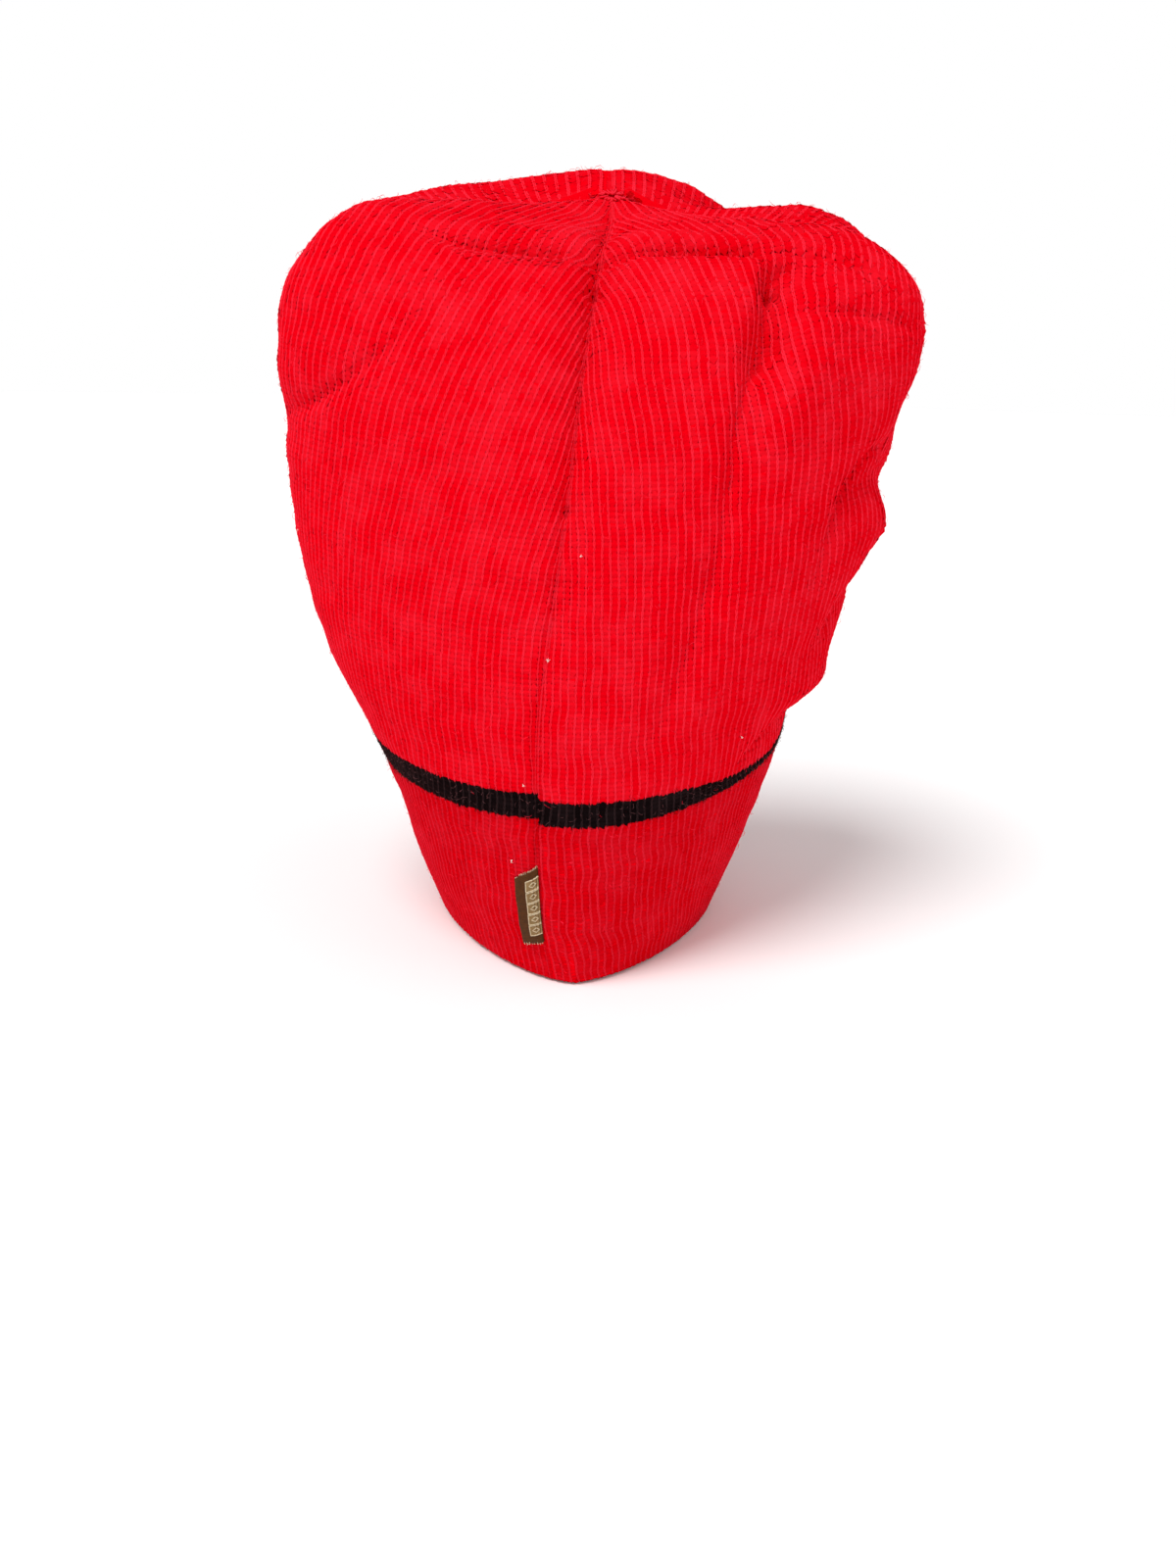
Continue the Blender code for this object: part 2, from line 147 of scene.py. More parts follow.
# Creases too narrow for the solid model: the seam's groove and the sharp lines in the folds.
CREASES = [
    (270, 0.99, 269.5, 0.88, 269, 0.76, 0.26, 0.1, 0.4, 0.5),
    (269, 0.76, 268, 0.66, 265.2, 0.54, 0.26, 0.5, 0.6, 0.35),
    (265.2, 0.54, 263.2, 0.42, 259.7, 0.26, 0.20, 0.35, 0.2, 0.16),
    (259.7, 0.26, 256.7, 0.16, 256, 0.08, 0.18, 0.16, 0.14, 0.12),
    (268.8, 0.56, 266, 0.455, 264.6, 0.37, 0.45, 0.1, 0.4, 0.05),
    # The line along the crown's front edge, and the low roll behind it.
    (228, 0.812, 246, 0.806, 262, 0.808, 0.26, 0.1, 0.7, 0.7),
    (262, 0.808, 282, 0.818, 298, 0.808, 0.26, 0.1, 0.75, 0.7),
    (298, 0.808, 312, 0.792, 327, 0.750, 0.26, 0.1, 0.6, 0.2),
    (236, 0.850, 268, 0.858, 300, 0.850, 0.55, 0, -0.4, 0),
    (307.5, 0.778, 300, 0.772, 298, 0.750, 0.26, 0.2, 0.75, 0.75),
    (298, 0.750, 296.6, 0.715, 298.2, 0.683, 0.26, 0.75, 0.7, 0.3),
    (296.5, 0.672, 293.6, 0.640, 294.6, 0.560, 0.22, 0.5, 0.4, 0.25),
    (294.6, 0.560, 293.5, 0.46, 287.5, 0.31, 0.20, 0.25, 0.22, 0.05),
    (189, 0.595, 215.5, 0.621, 241.5, 0.709, 0.24, 0.15, 0.4, 0.15),
    (299.5, 0.717, 312, 0.712, 336, 0.694, 0.22, 0.1, 0.35, 0.2),
    (338, 0.569, 325, 0.54, 319, 0.44, 0.26, 0.4, 0.5, 0.1),
    (349.5, 0.471, 341, 0.40, 334, 0.359, 0.26, 0.3, 0.5, 0.1),
    (342, 0.285, 328, 0.272, 315, 0.252, 0.28, 0.5, 0.6, 0.1),
    (180, 0.99, 182, 0.90, 186, 0.78, 0.30, 0.1, 0.5, 0.2),
    (360, 0.99, 358.5, 0.90, 355, 0.78, 0.30, 0.1, 0.5, 0.2),
    (90, 0.99, 90, 0.90, 91, 0.76, 0.26, 0.1, 0.1, 0.2),
]
print("rings, folds and creases:", len(SECTIONS), len(FOLDS), len(CREASES))

# %% [markdown]
# ### From tables to a surface
#
# A cubic curve runs through each column of the ring table, so the wall has no corners between
# rings. The folds are then taken off along the surface's normal. All of this is worked out
# once on a fine grid, and everything later reads its place, normal and seam distance there.

# %% Surface functions
GRID_BEARINGS = 720
GRID_LEVELS = 401
SEAM_LEVELS = [0.00, 0.08, 0.16, 0.25, 0.43, 0.60, 0.73, 1.00]
SEAM_BEARINGS = [257.5, 256.0, 256.8, 259.5, 263.0, 266.5, 269.0, 270.0]
TINY = 1e-12
print("grid of levels by bearings:", GRID_LEVELS, "by", GRID_BEARINGS)


def wrapped(turn):
    """The same angle, brought between minus and plus half a turn."""
    return (turn + math.pi) % (2 * math.pi) - math.pi


def smooth_columns(knots, values, places):
    """Cubic interpolation of each column of values, from the knots to the places."""
    step = np.diff(knots)[:, None]
    slope = np.diff(values, axis=0) / step
    tangent = np.vstack([slope[:1], slope[1:], slope[-1:]])
    tangent[1:-1] = (slope[:-1] * step[1:] + slope[1:] * step[:-1]) / (step[:-1] + step[1:])
    i = np.clip(np.searchsorted(knots, places, side="right") - 1, 0, len(knots) - 2)
    h = step[i]
    u = ((places - knots[i]) / h[:, 0])[:, None]
    return (
        (2 * u**3 - 3 * u**2 + 1) * values[i]
        + (u**3 - 2 * u**2 + u) * h * tangent[i]
        + (3 * u**2 - 2 * u**3) * values[i + 1]
        + (u**3 - u**2) * h * tangent[i + 1]
    )


def smooth_hat(bearing, level):
    """Points of the hat without its folds."""
    table = np.array(SECTIONS)
    flat = smooth_columns(table[:, 0], table[:, 1:], level.ravel())
    s = Section(level, *(column.reshape(level.shape) for column in flat.T))
    half_width = (RIM_WIDTH + s.flare * (CROWN_WIDTH - RIM_WIDTH)) / 2
    half_depth = (RIM_DEPTH + s.flare * (CROWN_DEPTH - RIM_DEPTH)) / 2
    centre_y = s.centre_y * CROWN_DEPTH / 2
    across, along = np.cos(bearing), np.sin(bearing)
    power = 2 / np.where(along > 0, s.back_round, s.front_round)
    reach_x = half_width * np.where(across > 0, s.right, s.left)
    reach_y = np.where(along > 0, half_depth * s.back - centre_y, half_depth * s.front + centre_y)
    x = s.centre_x * CROWN_WIDTH / 2 + reach_x * np.sign(across) * np.abs(across) ** power
    y = centre_y + reach_y * np.sign(along) * np.abs(along) ** power
    side_rise = np.where(across > 0, s.rise_right, s.rise_left)
    end_rise = np.where(along > 0, s.rise_back, s.rise_front)
    z = HAT_HEIGHT * (side_rise * across**2 + end_rise * along**2)
    return np.stack([x, y, z], axis=-1)


def grid_frame(points):
    """Outward normals of a closed grid of points, rows by level and columns by bearing."""
    around = np.roll(points, -1, axis=1) - np.roll(points, 1, axis=1)
    up = np.gradient(points, axis=0)
    normal = np.cross(around, up)
    length = np.linalg.norm(normal, axis=-1, keepdims=True)
    upright = np.array([0.0, 0.0, 1.0])
    return np.where(length > TINY, normal / np.maximum(length, TINY), upright), around, up


# %% Folds
FOLD_STEPS = 33
FOLD_SPREAD = 3
# Below this level the folds fade out, so that the rim keeps its shape.
FADE_LEVEL = 0.06
print("points along each fold:", FOLD_STEPS)


def fold_sink(bearing, level, folds, around_scale, up_scale):
    """How far the folds sink the surface at each place of the grid."""
    sink = np.zeros(level.shape)
    t = np.linspace(0, 1, FOLD_STEPS)
    first, middle, last = (1 - t) * (1 - 2 * t), 4 * t * (1 - t), t * (2 * t - 1)
    for row in folds:
        fold = Fold(*row)
        line_bearing = np.radians(
            first * fold.start_bearing + middle * fold.mid_bearing + last * fold.end_bearing
        )
        line_level = first * fold.start_level + middle * fold.mid_level + last * fold.end_level
        deep = np.interp(t, [0, 0.5, 1], [fold.deep_start, fold.deep_mid, fold.deep_end])
        reach = FOLD_SPREAD * fold.width * FOLD_WIDTH
        near = np.zeros(level.shape, bool)
        for b, at in zip(line_bearing, line_level):
            turn = np.abs(wrapped(bearing - b))
            near |= (turn * around_scale < reach) & (np.abs(level - at) * up_scale < reach)
        turn = wrapped(bearing[near][:, None] - line_bearing)
        rise = level[near][:, None] - line_level
        gap = np.hypot(turn * around_scale[near][:, None], rise * up_scale[near][:, None])
        nearest = gap.argmin(axis=-1)
        share = np.exp(-((gap.min(axis=-1) / (fold.width * FOLD_WIDTH)) ** 2))
        sink[near] += FOLD_DEPTH * deep[nearest] * share
    return sink * np.clip(level / FADE_LEVEL, 0, 1)


# %% Ripples, hollows and the finished grids
RIPPLE = 0.12 * MM
RIPPLE_WAVES = 40
BACKING_REACH = 2


def ripples(bearing, level):
    """Shallow waves of slack in the cloth, wider than they are high."""
    draw = np.random.default_rng(5)
    height = np.zeros(level.shape)
    for _ in range(RIPPLE_WAVES):
        around, up = draw.integers(-9, 10), 2 * math.pi * draw.uniform(8, 26)
        height += np.sin(around * bearing + up * level + draw.uniform(0, 2 * math.pi))
    fade = np.clip((level - 0.04) / 0.1, 0, 1) * np.clip((1 - level) / 0.1, 0, 1)
    return RIPPLE * fade * height / math.sqrt(RIPPLE_WAVES / 2)


def deepest_near(depth, reach):
    """At each place of the grid, the greatest depth within a few steps of it."""
    padded = np.pad(depth, ((0, 0), (reach, reach)), mode="wrap")
    padded = np.pad(padded, ((reach, reach), (0, 0)), mode="edge")
    window = (2 * reach + 1, 2 * reach + 1)
    return np.lib.stride_tricks.sliding_window_view(padded, window).max(axis=(2, 3))


def hollow_depth(points, normal, reach):
    """How far a straight line between nearby points would stand clear of a hollow."""
    beside = (np.roll(points, reach, axis=1) + np.roll(points, -reach, axis=1)) / 2 - points
    clear = np.maximum((beside * normal).sum(axis=-1), 0)
    middle = slice(reach, -reach)
    above = (points[2 * reach :] + points[: -2 * reach]) / 2 - points[middle]
    clear[middle] = np.maximum(clear[middle], (above * normal[middle]).sum(axis=-1))
    return deepest_near(clear, reach)


def hat_grids():
    """Points of the outer face, its normals, and points of the backing and the inner face."""
    turns = np.linspace(0, 2 * math.pi, GRID_BEARINGS, endpoint=False)
    bearing, level = np.meshgrid(turns, np.linspace(0, 1, GRID_LEVELS))
    base = smooth_hat(bearing, level)
    middle = (base.min(axis=(0, 1)) + base.max(axis=(0, 1))) / 2
    base = base - middle * np.array([1.0, 1.0, 0.0])
    normal, around, up = grid_frame(base)
    around_scale = np.linalg.norm(around, axis=-1) / (2 * turns[1])
    up_scale = np.linalg.norm(up, axis=-1) * (GRID_LEVELS - 1)
    sink = fold_sink(bearing, level, FOLDS + CREASES, around_scale, up_scale)
    outer = base - normal * (sink + ripples(bearing, level))[..., None]
    outward = grid_frame(outer)[0]
    # The backing is a coarser mesh, so it keeps below the bottom of every hollow.
    behind = BACKING_DEPTH + hollow_depth(outer, outward, BACKING_REACH)
    return outer, outward, outer - outward * behind[..., None], outer - normal * WALL


OUTER, OUTWARD, BACKING, INNER = hat_grids()
print("surface from", OUTER.min(axis=(0, 1)).round(4), "to", OUTER.max(axis=(0, 1)).round(4))


# %% Reading the surface
def read_grid(grid, bearing, level):
    """Bilinear reading of a grid at any bearing, in radians, and level."""
    column = (bearing / (2 * math.pi) * GRID_BEARINGS) % GRID_BEARINGS
    row = np.clip(level, 0, 1) * (GRID_LEVELS - 1)
    c0 = np.floor(column).astype(int) % GRID_BEARINGS
    r0 = np.clip(np.floor(row).astype(int), 0, GRID_LEVELS - 2)
    c1 = (c0 + 1) % GRID_BEARINGS
    across = (column - np.floor(column))[..., None]
    up = (row - r0)[..., None]
    low = grid[r0, c0] * (1 - across) + grid[r0, c1] * across
    high = grid[r0 + 1, c0] * (1 - across) + grid[r0 + 1, c1] * across
    return low * (1 - up) + high * up


def seam_bearing(level):
    """Bearing of the front seam at each level, in radians."""
    return np.radians(np.interp(level, SEAM_LEVELS, SEAM_BEARINGS))


FRONT_TOP = 0.66
FRONT_STEPS = 331
FRONT_LEVELS = np.linspace(0, FRONT_TOP, FRONT_STEPS)
FRONT_BEARINGS = np.full(FRONT_LEVELS.shape, math.radians(270))
FRONT_HEIGHTS = read_grid(OUTER, FRONT_BEARINGS, FRONT_LEVELS)[:, 2]


def front_level(height):
    """The level that stands this high up the front."""
    return np.interp(height, FRONT_HEIGHTS, FRONT_LEVELS)


STRIPE_LOW = front_level(BAND_HEIGHT)
STRIPE_HIGH = front_level(BAND_HEIGHT + STRIPE_WIDTH)
JOG_STEP = front_level(BAND_HEIGHT + SEAM_JOG) - STRIPE_LOW
print("stripe levels", round(STRIPE_LOW, 4), round(STRIPE_HIGH, 4))

# %% The step at the seam, and the pressed end of the stripe
CRUSH = 0.7
CRUSH_BEARING = math.radians(330)
CRUSH_REACH = math.radians(24)
CRUSH_TOP = 1.4
print("the stripe is narrowed to", round(1 - CRUSH, 2), "of its width")


def jogged(bearing, level):
    """Levels stepped at the seam, and the stripe pressed narrow under the roll on the right."""
    share = np.interp(level, [0, STRIPE_LOW, STRIPE_HIGH, 2 * STRIPE_HIGH], [0, 1, 1, 0])
    reach = JOG_REACH / (CROWN_WIDTH / 2)
    behind = wrapped(seam_bearing(level) - bearing)
    lifted = JOG_STEP * share * np.where(behind >= 0, np.exp(-np.maximum(behind, 0) / reach), 0)
    turn = wrapped(bearing - CRUSH_BEARING)
    above = np.interp(level, [STRIPE_LOW, STRIPE_HIGH, CRUSH_TOP * STRIPE_HIGH], [0, 1, 0])
    pressed = CRUSH * (STRIPE_HIGH - STRIPE_LOW) * above * np.exp(-((turn / CRUSH_REACH) ** 2))
    return level + lifted - pressed


# %% [markdown]
# ### Where the wales and courses run
#
# A machine-knitted tube has the same number of wales all the way up. On this hat the front
# keeps its pitch from rim to crown, and the back takes up the difference in girth. Some wales
# run out into the front seam on their way up. Above the widest part the tube is four petals:
# in each the wales stay parallel to its middle, and end where they meet a dart.

# %% Measure each ring from the seam
RING_LEVELS = np.linspace(0, 1, GRID_LEVELS)
FOLD_REACH = 14
# The least and the most cloth that a fold can take up, as a share of the unfolded length.
LEAST_TAKEN, MOST_TAKEN = 0.7, 3.0


def running_mean(table, reach):
    """Each row averaged with the rows up to this far below and above it."""
    padded = np.pad(table, ((reach + 1, reach), (0, 0)), mode="edge")
    total = np.cumsum(padded, axis=0)
    window = 2 * reach + 1
    return (total[window:] - total[:-window]) / window


def ring_measure():
    """Bearings round each ring from the seam, and the length of cloth up to each."""
    start = seam_bearing(RING_LEVELS)[:, None]
    bearing = start + np.linspace(0, 2 * math.pi, GRID_BEARINGS + 1)
    level = np.repeat(RING_LEVELS[:, None], GRID_BEARINGS + 1, axis=1)
    plain = np.linalg.norm(np.diff(smooth_hat(bearing, level), axis=1), axis=-1)
    folded = np.linalg.norm(np.diff(read_grid(OUTER, bearing, level), axis=1), axis=-1)
    # The cloth that a fold takes up is drawn from above and below it, so its share is spread out.
    share = np.clip(folded / np.maximum(plain, 1e-9), LEAST_TAKEN, MOST_TAKEN)
    steps = plain * running_mean(running_mean(share, FOLD_REACH), FOLD_REACH)
    length = np.concatenate([np.zeros((GRID_LEVELS, 1)), np.cumsum(steps, axis=1)], axis=1)
    return bearing, length


RING_BEARING, RING_LENGTH = ring_measure()
GIRTH = RING_LENGTH[:, -1]
print("girth at the rim and at the widest, mm:", (GIRTH[0] / MM).round(), (GIRTH.max() / MM).round())

# %% Run the wales up the hat
BAND_WANDER = 0.9 * MM
CROWN_WANDER = 0.38 * MM
WANDER_STEP = 0.45
SEAM_SQUEEZE = 0.5
LEAST_PITCH = 1 * MM
FLOW_REACH = 8
SHARES = (np.arange(WALES) + 0.5) / WALES
# At each level: the front's pitch, and how much cloth has run into the seam on each side.
FrontKnit = namedtuple("FrontKnit", "level pitch left right")
FRONT_KNIT = [
    FrontKnit(0.00, 3.05 * MM, 7 * MM, 3 * MM),
    FrontKnit(0.20, 2.95 * MM, 7 * MM, 3 * MM),
    FrontKnit(0.30, 2.80 * MM, 5 * MM, 2 * MM),
    FrontKnit(0.42, 2.65 * MM, 1 * MM, 4 * MM),
    FrontKnit(0.50, 2.65 * MM, 3 * MM, 8 * MM),
    FrontKnit(0.60, 2.65 * MM, 10 * MM, 14 * MM),
    FrontKnit(0.70, 2.65 * MM, 22 * MM, 23 * MM),
    FrontKnit(0.80, 2.65 * MM, 38 * MM, 41 * MM),
    FrontKnit(1.00, 2.65 * MM, 70 * MM, 78 * MM),
]
Darts = namedtuple("Darts", "level right back left")
DARTS = [Darts(0.70, 349, 92, 191), Darts(0.84, 357, 90, 183), Darts(1.0, 360, 90, 180)]
# The edge that each petal's wales keep beside, counted round to the right from the seam.
PETAL_EDGES = np.array([0, 2, 2, 4])


def wander(level):
    """A slow drift to and fro, nearly shared by neighbours, because no wale is ruler straight."""
    draw = np.random.default_rng(3)
    phase = np.cumsum(draw.normal(0, WANDER_STEP, (3, WALES)), axis=1)
    rate = np.array([[9.0], [17.0], [31.0]])
    part = np.array([[0.5], [0.3], [0.2]])
    reach = np.interp(level, [0.2, 0.4], [BAND_WANDER, CROWN_WANDER])
    return reach * (part * np.sin(2 * math.pi * rate * level + phase)).sum(axis=0)


def front_knit(row):
    """The front's pitch on one ring, and how far each wale has moved towards the seam."""
    table = np.array(FRONT_KNIT)
    pitch, left, right = (np.interp(RING_LEVELS[row], table[:, 0], table[:, i]) for i in (1, 2, 3))
    return pitch, np.where(SHARES < 0.5, -right, left) * np.cos(math.pi * SHARES) ** 2


def ring_places(row):
    """Distance from the seam of each wale on one ring below the darts."""
    pitch, moved = front_knit(row)
    girth = GIRTH[row]
    crowding = pitch * WALES / girth - 1
    return girth * (SHARES + crowding / (2 * math.pi) * np.sin(2 * math.pi * SHARES)) + moved


def dart_places(row):
    """Distance from the seam of the seam itself and of the three darts, on one ring."""
    table = np.array(DARTS)
    turn = RING_BEARING[row] - RING_BEARING[row, 0]
    around = [0.0]
    for column in (1, 2, 3):
        bearing = math.radians(np.interp(RING_LEVELS[row], table[:, 0], table[:, column]))
        around.append((bearing - RING_BEARING[row, 0]) % (2 * math.pi))
    return np.interp(around + [2 * math.pi], turn, RING_LENGTH[row])


def run_wales():
    """Bearing, pitch and presence of every wale on every ring, and the petal that it is in."""
    first = int(round(DART_LEVEL * (GRID_LEVELS - 1)))
    base, darts, moved = ring_places(first), dart_places(first), front_knit(first)[1]
    petal = np.clip(np.searchsorted(darts, base) - 1, 0, 3)
    offset = base - moved - darts[PETAL_EDGES[petal]]
    edges = np.array([dart_places(row)[PETAL_EDGES[petal]] for row in range(GRID_LEVELS)])
    rows = [ring_places(row) - edges[row] for row in range(first + 1)]
    rows += [offset + front_knit(row)[1] for row in range(first + 1, GRID_LEVELS)]
    # Where a wale leans, it does so gently, beside the edge that its petal hangs on.
    place = edges + running_mean(running_mean(np.array(rows), FLOW_REACH), FLOW_REACH)
    forward = np.diff(place, axis=1, append=place[:, :1] + GIRTH[:, None])
    pitch = np.maximum(np.minimum(forward, np.roll(forward, 1, axis=1)), LEAST_PITCH)
    bearing = np.zeros(place.shape)
    present = np.zeros(place.shape, bool)
    for row in range(GRID_LEVELS):
        darts = dart_places(row)
        low, high = (darts[petal], darts[petal + 1]) if row > first else (0.0, GIRTH[row])
        drifted = place[row] + wander(RING_LEVELS[row])
        squeeze = SEAM_SQUEEZE * pitch[row]
        present[row] = (drifted > low - squeeze) & (drifted < high + squeeze)
        drifted = np.clip(drifted, low + squeeze / 2, high - squeeze / 2)
        bearing[row] = np.interp(drifted, RING_LENGTH[row], RING_BEARING[row])
    return bearing, pitch, present, petal


WALE_BEARING, WALE_WIDTH, WALE_PRESENT, WALE_PETAL = run_wales()
print("wales in each petal:", np.bincount(WALE_PETAL))
print("wale pitch at the front, mm:", (WALE_WIDTH[[40, 160, 280], 20] / MM).round(2))


# %% Space the courses
def climb(wales):
    """Length of cloth from the rim up to each ring, averaged over the wales that reach it."""
    level = RING_LEVELS[:, None].repeat(len(wales), axis=1)
    points = read_grid(OUTER, WALE_BEARING[:, wales], level)
    steps = np.linalg.norm(np.diff(points, axis=0), axis=-1)
    reach = WALE_PRESENT[1:, wales]
    mean = (steps * reach).sum(axis=1) / np.maximum(reach.sum(axis=1), 1)
    return np.concatenate([[0], np.cumsum(mean)])


def course_levels(lengths, low, high, count=None):
    """Levels of the course edges between two levels, evenly spaced along the cloth."""
    start, end = np.interp([low, high], RING_LEVELS, lengths)
    count = count or int(round((end - start) / COURSE_HEIGHT))
    return np.interp(np.linspace(start, end, count + 1), lengths, RING_LEVELS)


EDGE_RADIUS = WALL / 2
RIM_LEVEL = front_level(EDGE_RADIUS)
ALL_WALES = np.arange(WALES)
FRONT_WALES = ALL_WALES[8:32]
FRONT_CLIMB = climb(FRONT_WALES)
STRIPE_COURSES = 5
BAND_EDGES = course_levels(FRONT_CLIMB, RIM_LEVEL, STRIPE_LOW)
STRIPE_EDGES = course_levels(FRONT_CLIMB, STRIPE_LOW, STRIPE_HIGH, STRIPE_COURSES)
LOWER_EDGES = course_levels(FRONT_CLIMB, STRIPE_HIGH, DART_LEVEL)
print("courses in the band and below the darts:", len(BAND_EDGES) - 1, len(LOWER_EDGES) - 1)


# %% Places for the stitches
STREAK = 0.7
RELIEF_VARIES = 0.10
USUAL_WIDTH = 2.8 * MM
NARROWEST = 1.5 * MM
WIDEST = 5.5 * MM


def as_places(place, outward, upward, spread, tint):
    """What each place carries: its point, directions, three sizes and tint."""
    spread = np.stack(np.broadcast_arrays(*spread), axis=-1)
    return dict(place=place, outward=outward, upward=upward, spread=spread, tint=tint)


def places_between(points, normals, width, keep, seed):
    """A place for each stitch between two rows of edge points, with directions and size."""
    rise = points[1:] - points[:-1]
    height = np.linalg.norm(rise, axis=-1)
    draw = np.random.default_rng(seed)
    tint = draw.normal(0, 1, keep.shape)
    # A wale that stands proud keeps proud for a few stitches, which makes light strokes.
    for row in range(1, len(tint)):
        tint[row] = STREAK * tint[row - 1] + math.sqrt(1 - STREAK**2) * tint[row]
    # Cloth that is drawn out wide is flatter.
    relief = YARN_RELIEF * np.minimum(1, USUAL_WIDTH / width) * (1 + RELIEF_VARIES * tint)
    place, outward = ((table[1:] + table[:-1]) / 2 for table in (points, normals))
    spread = (width[keep], height[keep], relief[keep])
    return as_places(place[keep], outward[keep], rise[keep], spread, tint[keep])


def wall_places(levels, wales, seed):
    """Places for the courses of the outer face between these levels."""
    level = levels[:, None].repeat(len(wales), axis=1)
    row = level * (GRID_LEVELS - 1)
    low = np.clip(row.astype(int), 0, GRID_LEVELS - 2)
    up = row - low
    bearing = WALE_BEARING[low, wales] * (1 - up) + WALE_BEARING[low + 1, wales] * up
    nearest = np.round(row).astype(int)
    present = WALE_PRESENT[nearest, wales]
    level = jogged(bearing, level)
    points = read_grid(OUTER, bearing, level)
    # A stitch reaches from its own wale to the next one on its right, and lies along that line.
    across = np.diff(points, axis=1)
    across = np.concatenate([across, across[:, -1:]], axis=1)
    gap = np.linalg.norm(across, axis=-1)
    normals = np.cross(across, np.gradient(points, axis=0))
    length = np.linalg.norm(normals, axis=-1, keepdims=True)
    plain = read_grid(OUTWARD, bearing, level)
    normals = np.where(gap[..., None] > NARROWEST / 2, normals / np.maximum(length, TINY), plain)
    width = np.clip((gap[1:] + gap[:-1]) / 2, NARROWEST, WIDEST)
    return places_between(points, normals, width, present[:-1] & present[1:], seed)


# %% The rounded rim
CREST = 0.80 * MM
RIM_LIFT = 0.35 * MM
RIM_COURSES = 3
LINING_COURSES = 5
print("courses under the rim and up the inside:", RIM_COURSES, LINING_COURSES)


def rim_section(bearing, turns, depth):
    """Rows of points round the rounded rim, from its outer side to its inner side."""
    level = np.full(bearing.shape, RIM_LEVEL)
    face = read_grid(OUTER, bearing, level)
    outward = read_grid(OUTWARD, bearing, level) * np.array([1.0, 1.0, 0.0])
    outward /= np.linalg.norm(outward, axis=-1, keepdims=True)
    centre = face - EDGE_RADIUS * outward
    centre[:, 2] = EDGE_RADIUS + RIM_LIFT
    down = np.array([0.0, 0.0, -1.0])
    points, normals = [], []
    for turn in turns:
        direction = outward * math.cos(turn) + down * math.sin(turn)
        points.append(centre + direction * (EDGE_RADIUS - depth - CREST * abs(math.sin(turn))))
        normals.append(direction)
    return np.array(points), np.array(normals)


def rim_places(seed):
    """Places for the courses that turn under the rim and run a little way up the inside."""
    row = int(round(RIM_LEVEL * (GRID_LEVELS - 1)))
    bearing = WALE_BEARING[row]
    turns = np.linspace(0, math.pi, RIM_COURSES + 1)
    round_points, round_normals = rim_section(bearing, turns, 0.0)
    lengths = FRONT_CLIMB[row] + COURSE_HEIGHT * np.arange(1, LINING_COURSES + 1)
    lining_levels = np.interp(lengths, FRONT_CLIMB, RING_LEVELS)
    level = lining_levels[:, None].repeat(WALES, axis=1)
    across = bearing[None].repeat(LINING_COURSES, axis=0)
    lining = read_grid(INNER, across, level)
    inward = -read_grid(OUTWARD, across, level)
    points = np.concatenate([round_points, lining])
    normals = np.concatenate([round_normals, inward])
    # The fold is knitted upwards, so its rows run from the inside round to the outside.
    points, normals = points[::-1], normals[::-1]
    keep = np.ones((len(points) - 1, WALES), bool)
    width = WALE_WIDTH[row][None].repeat(len(keep), axis=0)
    return places_between(points, normals, width, keep, seed)


# %% [markdown]
# ### One stitch
#
# The hat is a fine rib. Each ridge is a column of Vs: two legs of yarn that come up from
# behind the stitch below, lean apart, and tuck under the one above. Between two ridges the
# yarn crosses in low rungs. One V and one rung are drawn here with so few faces because they
# are used tens of thousands of times. Across is in wales, up is in courses, and out is in
# depths of yarn, so that each place can stretch them to its own size.

# %% Node helper and the stitch mesh
def add_node(tree, kind, inputs=None, **settings):
    """Add a node with its settings, and set or link its inputs by name or number."""
    node = tree.nodes.new(kind)
    for name, value in settings.items():
        setattr(node, name, value)
    for name, value in (inputs or {}).items():
        if isinstance(value, bpy.types.NodeSocket):
            tree.links.new(value, node.inputs[name])
        else:
            node.inputs[name].default_value = value
    return node


def crested_mesh(name, vertices, faces, crest):
    """A small mesh for repeating, whose crest attribute sets how much painted highlight a point gets.
    """
    mesh = bpy.data.meshes.new(name)
    mesh.from_pydata(vertices, [], faces)
    mesh.shade_smooth()
    mesh.attributes.new("crest", "FLOAT", "POINT").data.foreach_set("value", crest)
    return bpy.data.objects.new(name, mesh)


LegRing = namedtuple("LegRing", "across up out half_width lean")
LEG_RINGS = [
    LegRing(0.055, -0.26, 0.60, 0.125, 0.03),
    LegRing(0.095, 0.30, 0.58, 0.125, 0.03),
]
LEG_FOOT = (0.03, -0.78, 0.30)
LEG_HEAD = (0.10, 0.80, 0.15)
LEG_ROOT = -0.35
# The two legs press together, so the groove between them is shallow.
LEG_INNER_ROOT = 0.20
# The leg's foot and head take part of the painted highlight that its ridge gets.
FOOT_CREST, HEAD_CREST = 0.8, 0.6
# The rung's two ends on its ridge, and its upper and lower foot behind.
RUNG = [(0.0, 0.0, 0.28), (1.0, 0.0, 0.28), (0.50, 1.00, -0.55), (0.50, -1.00, -0.55)]
RUNG_FACES = [(0, 1, 2), (1, 0, 3), (0, 2, 3), (1, 3, 2)]
# The rung lies in painted shade, with almost none of the painted highlight.
RUNG_CREST = [0.3, 0.3, 0.1, 0.1]


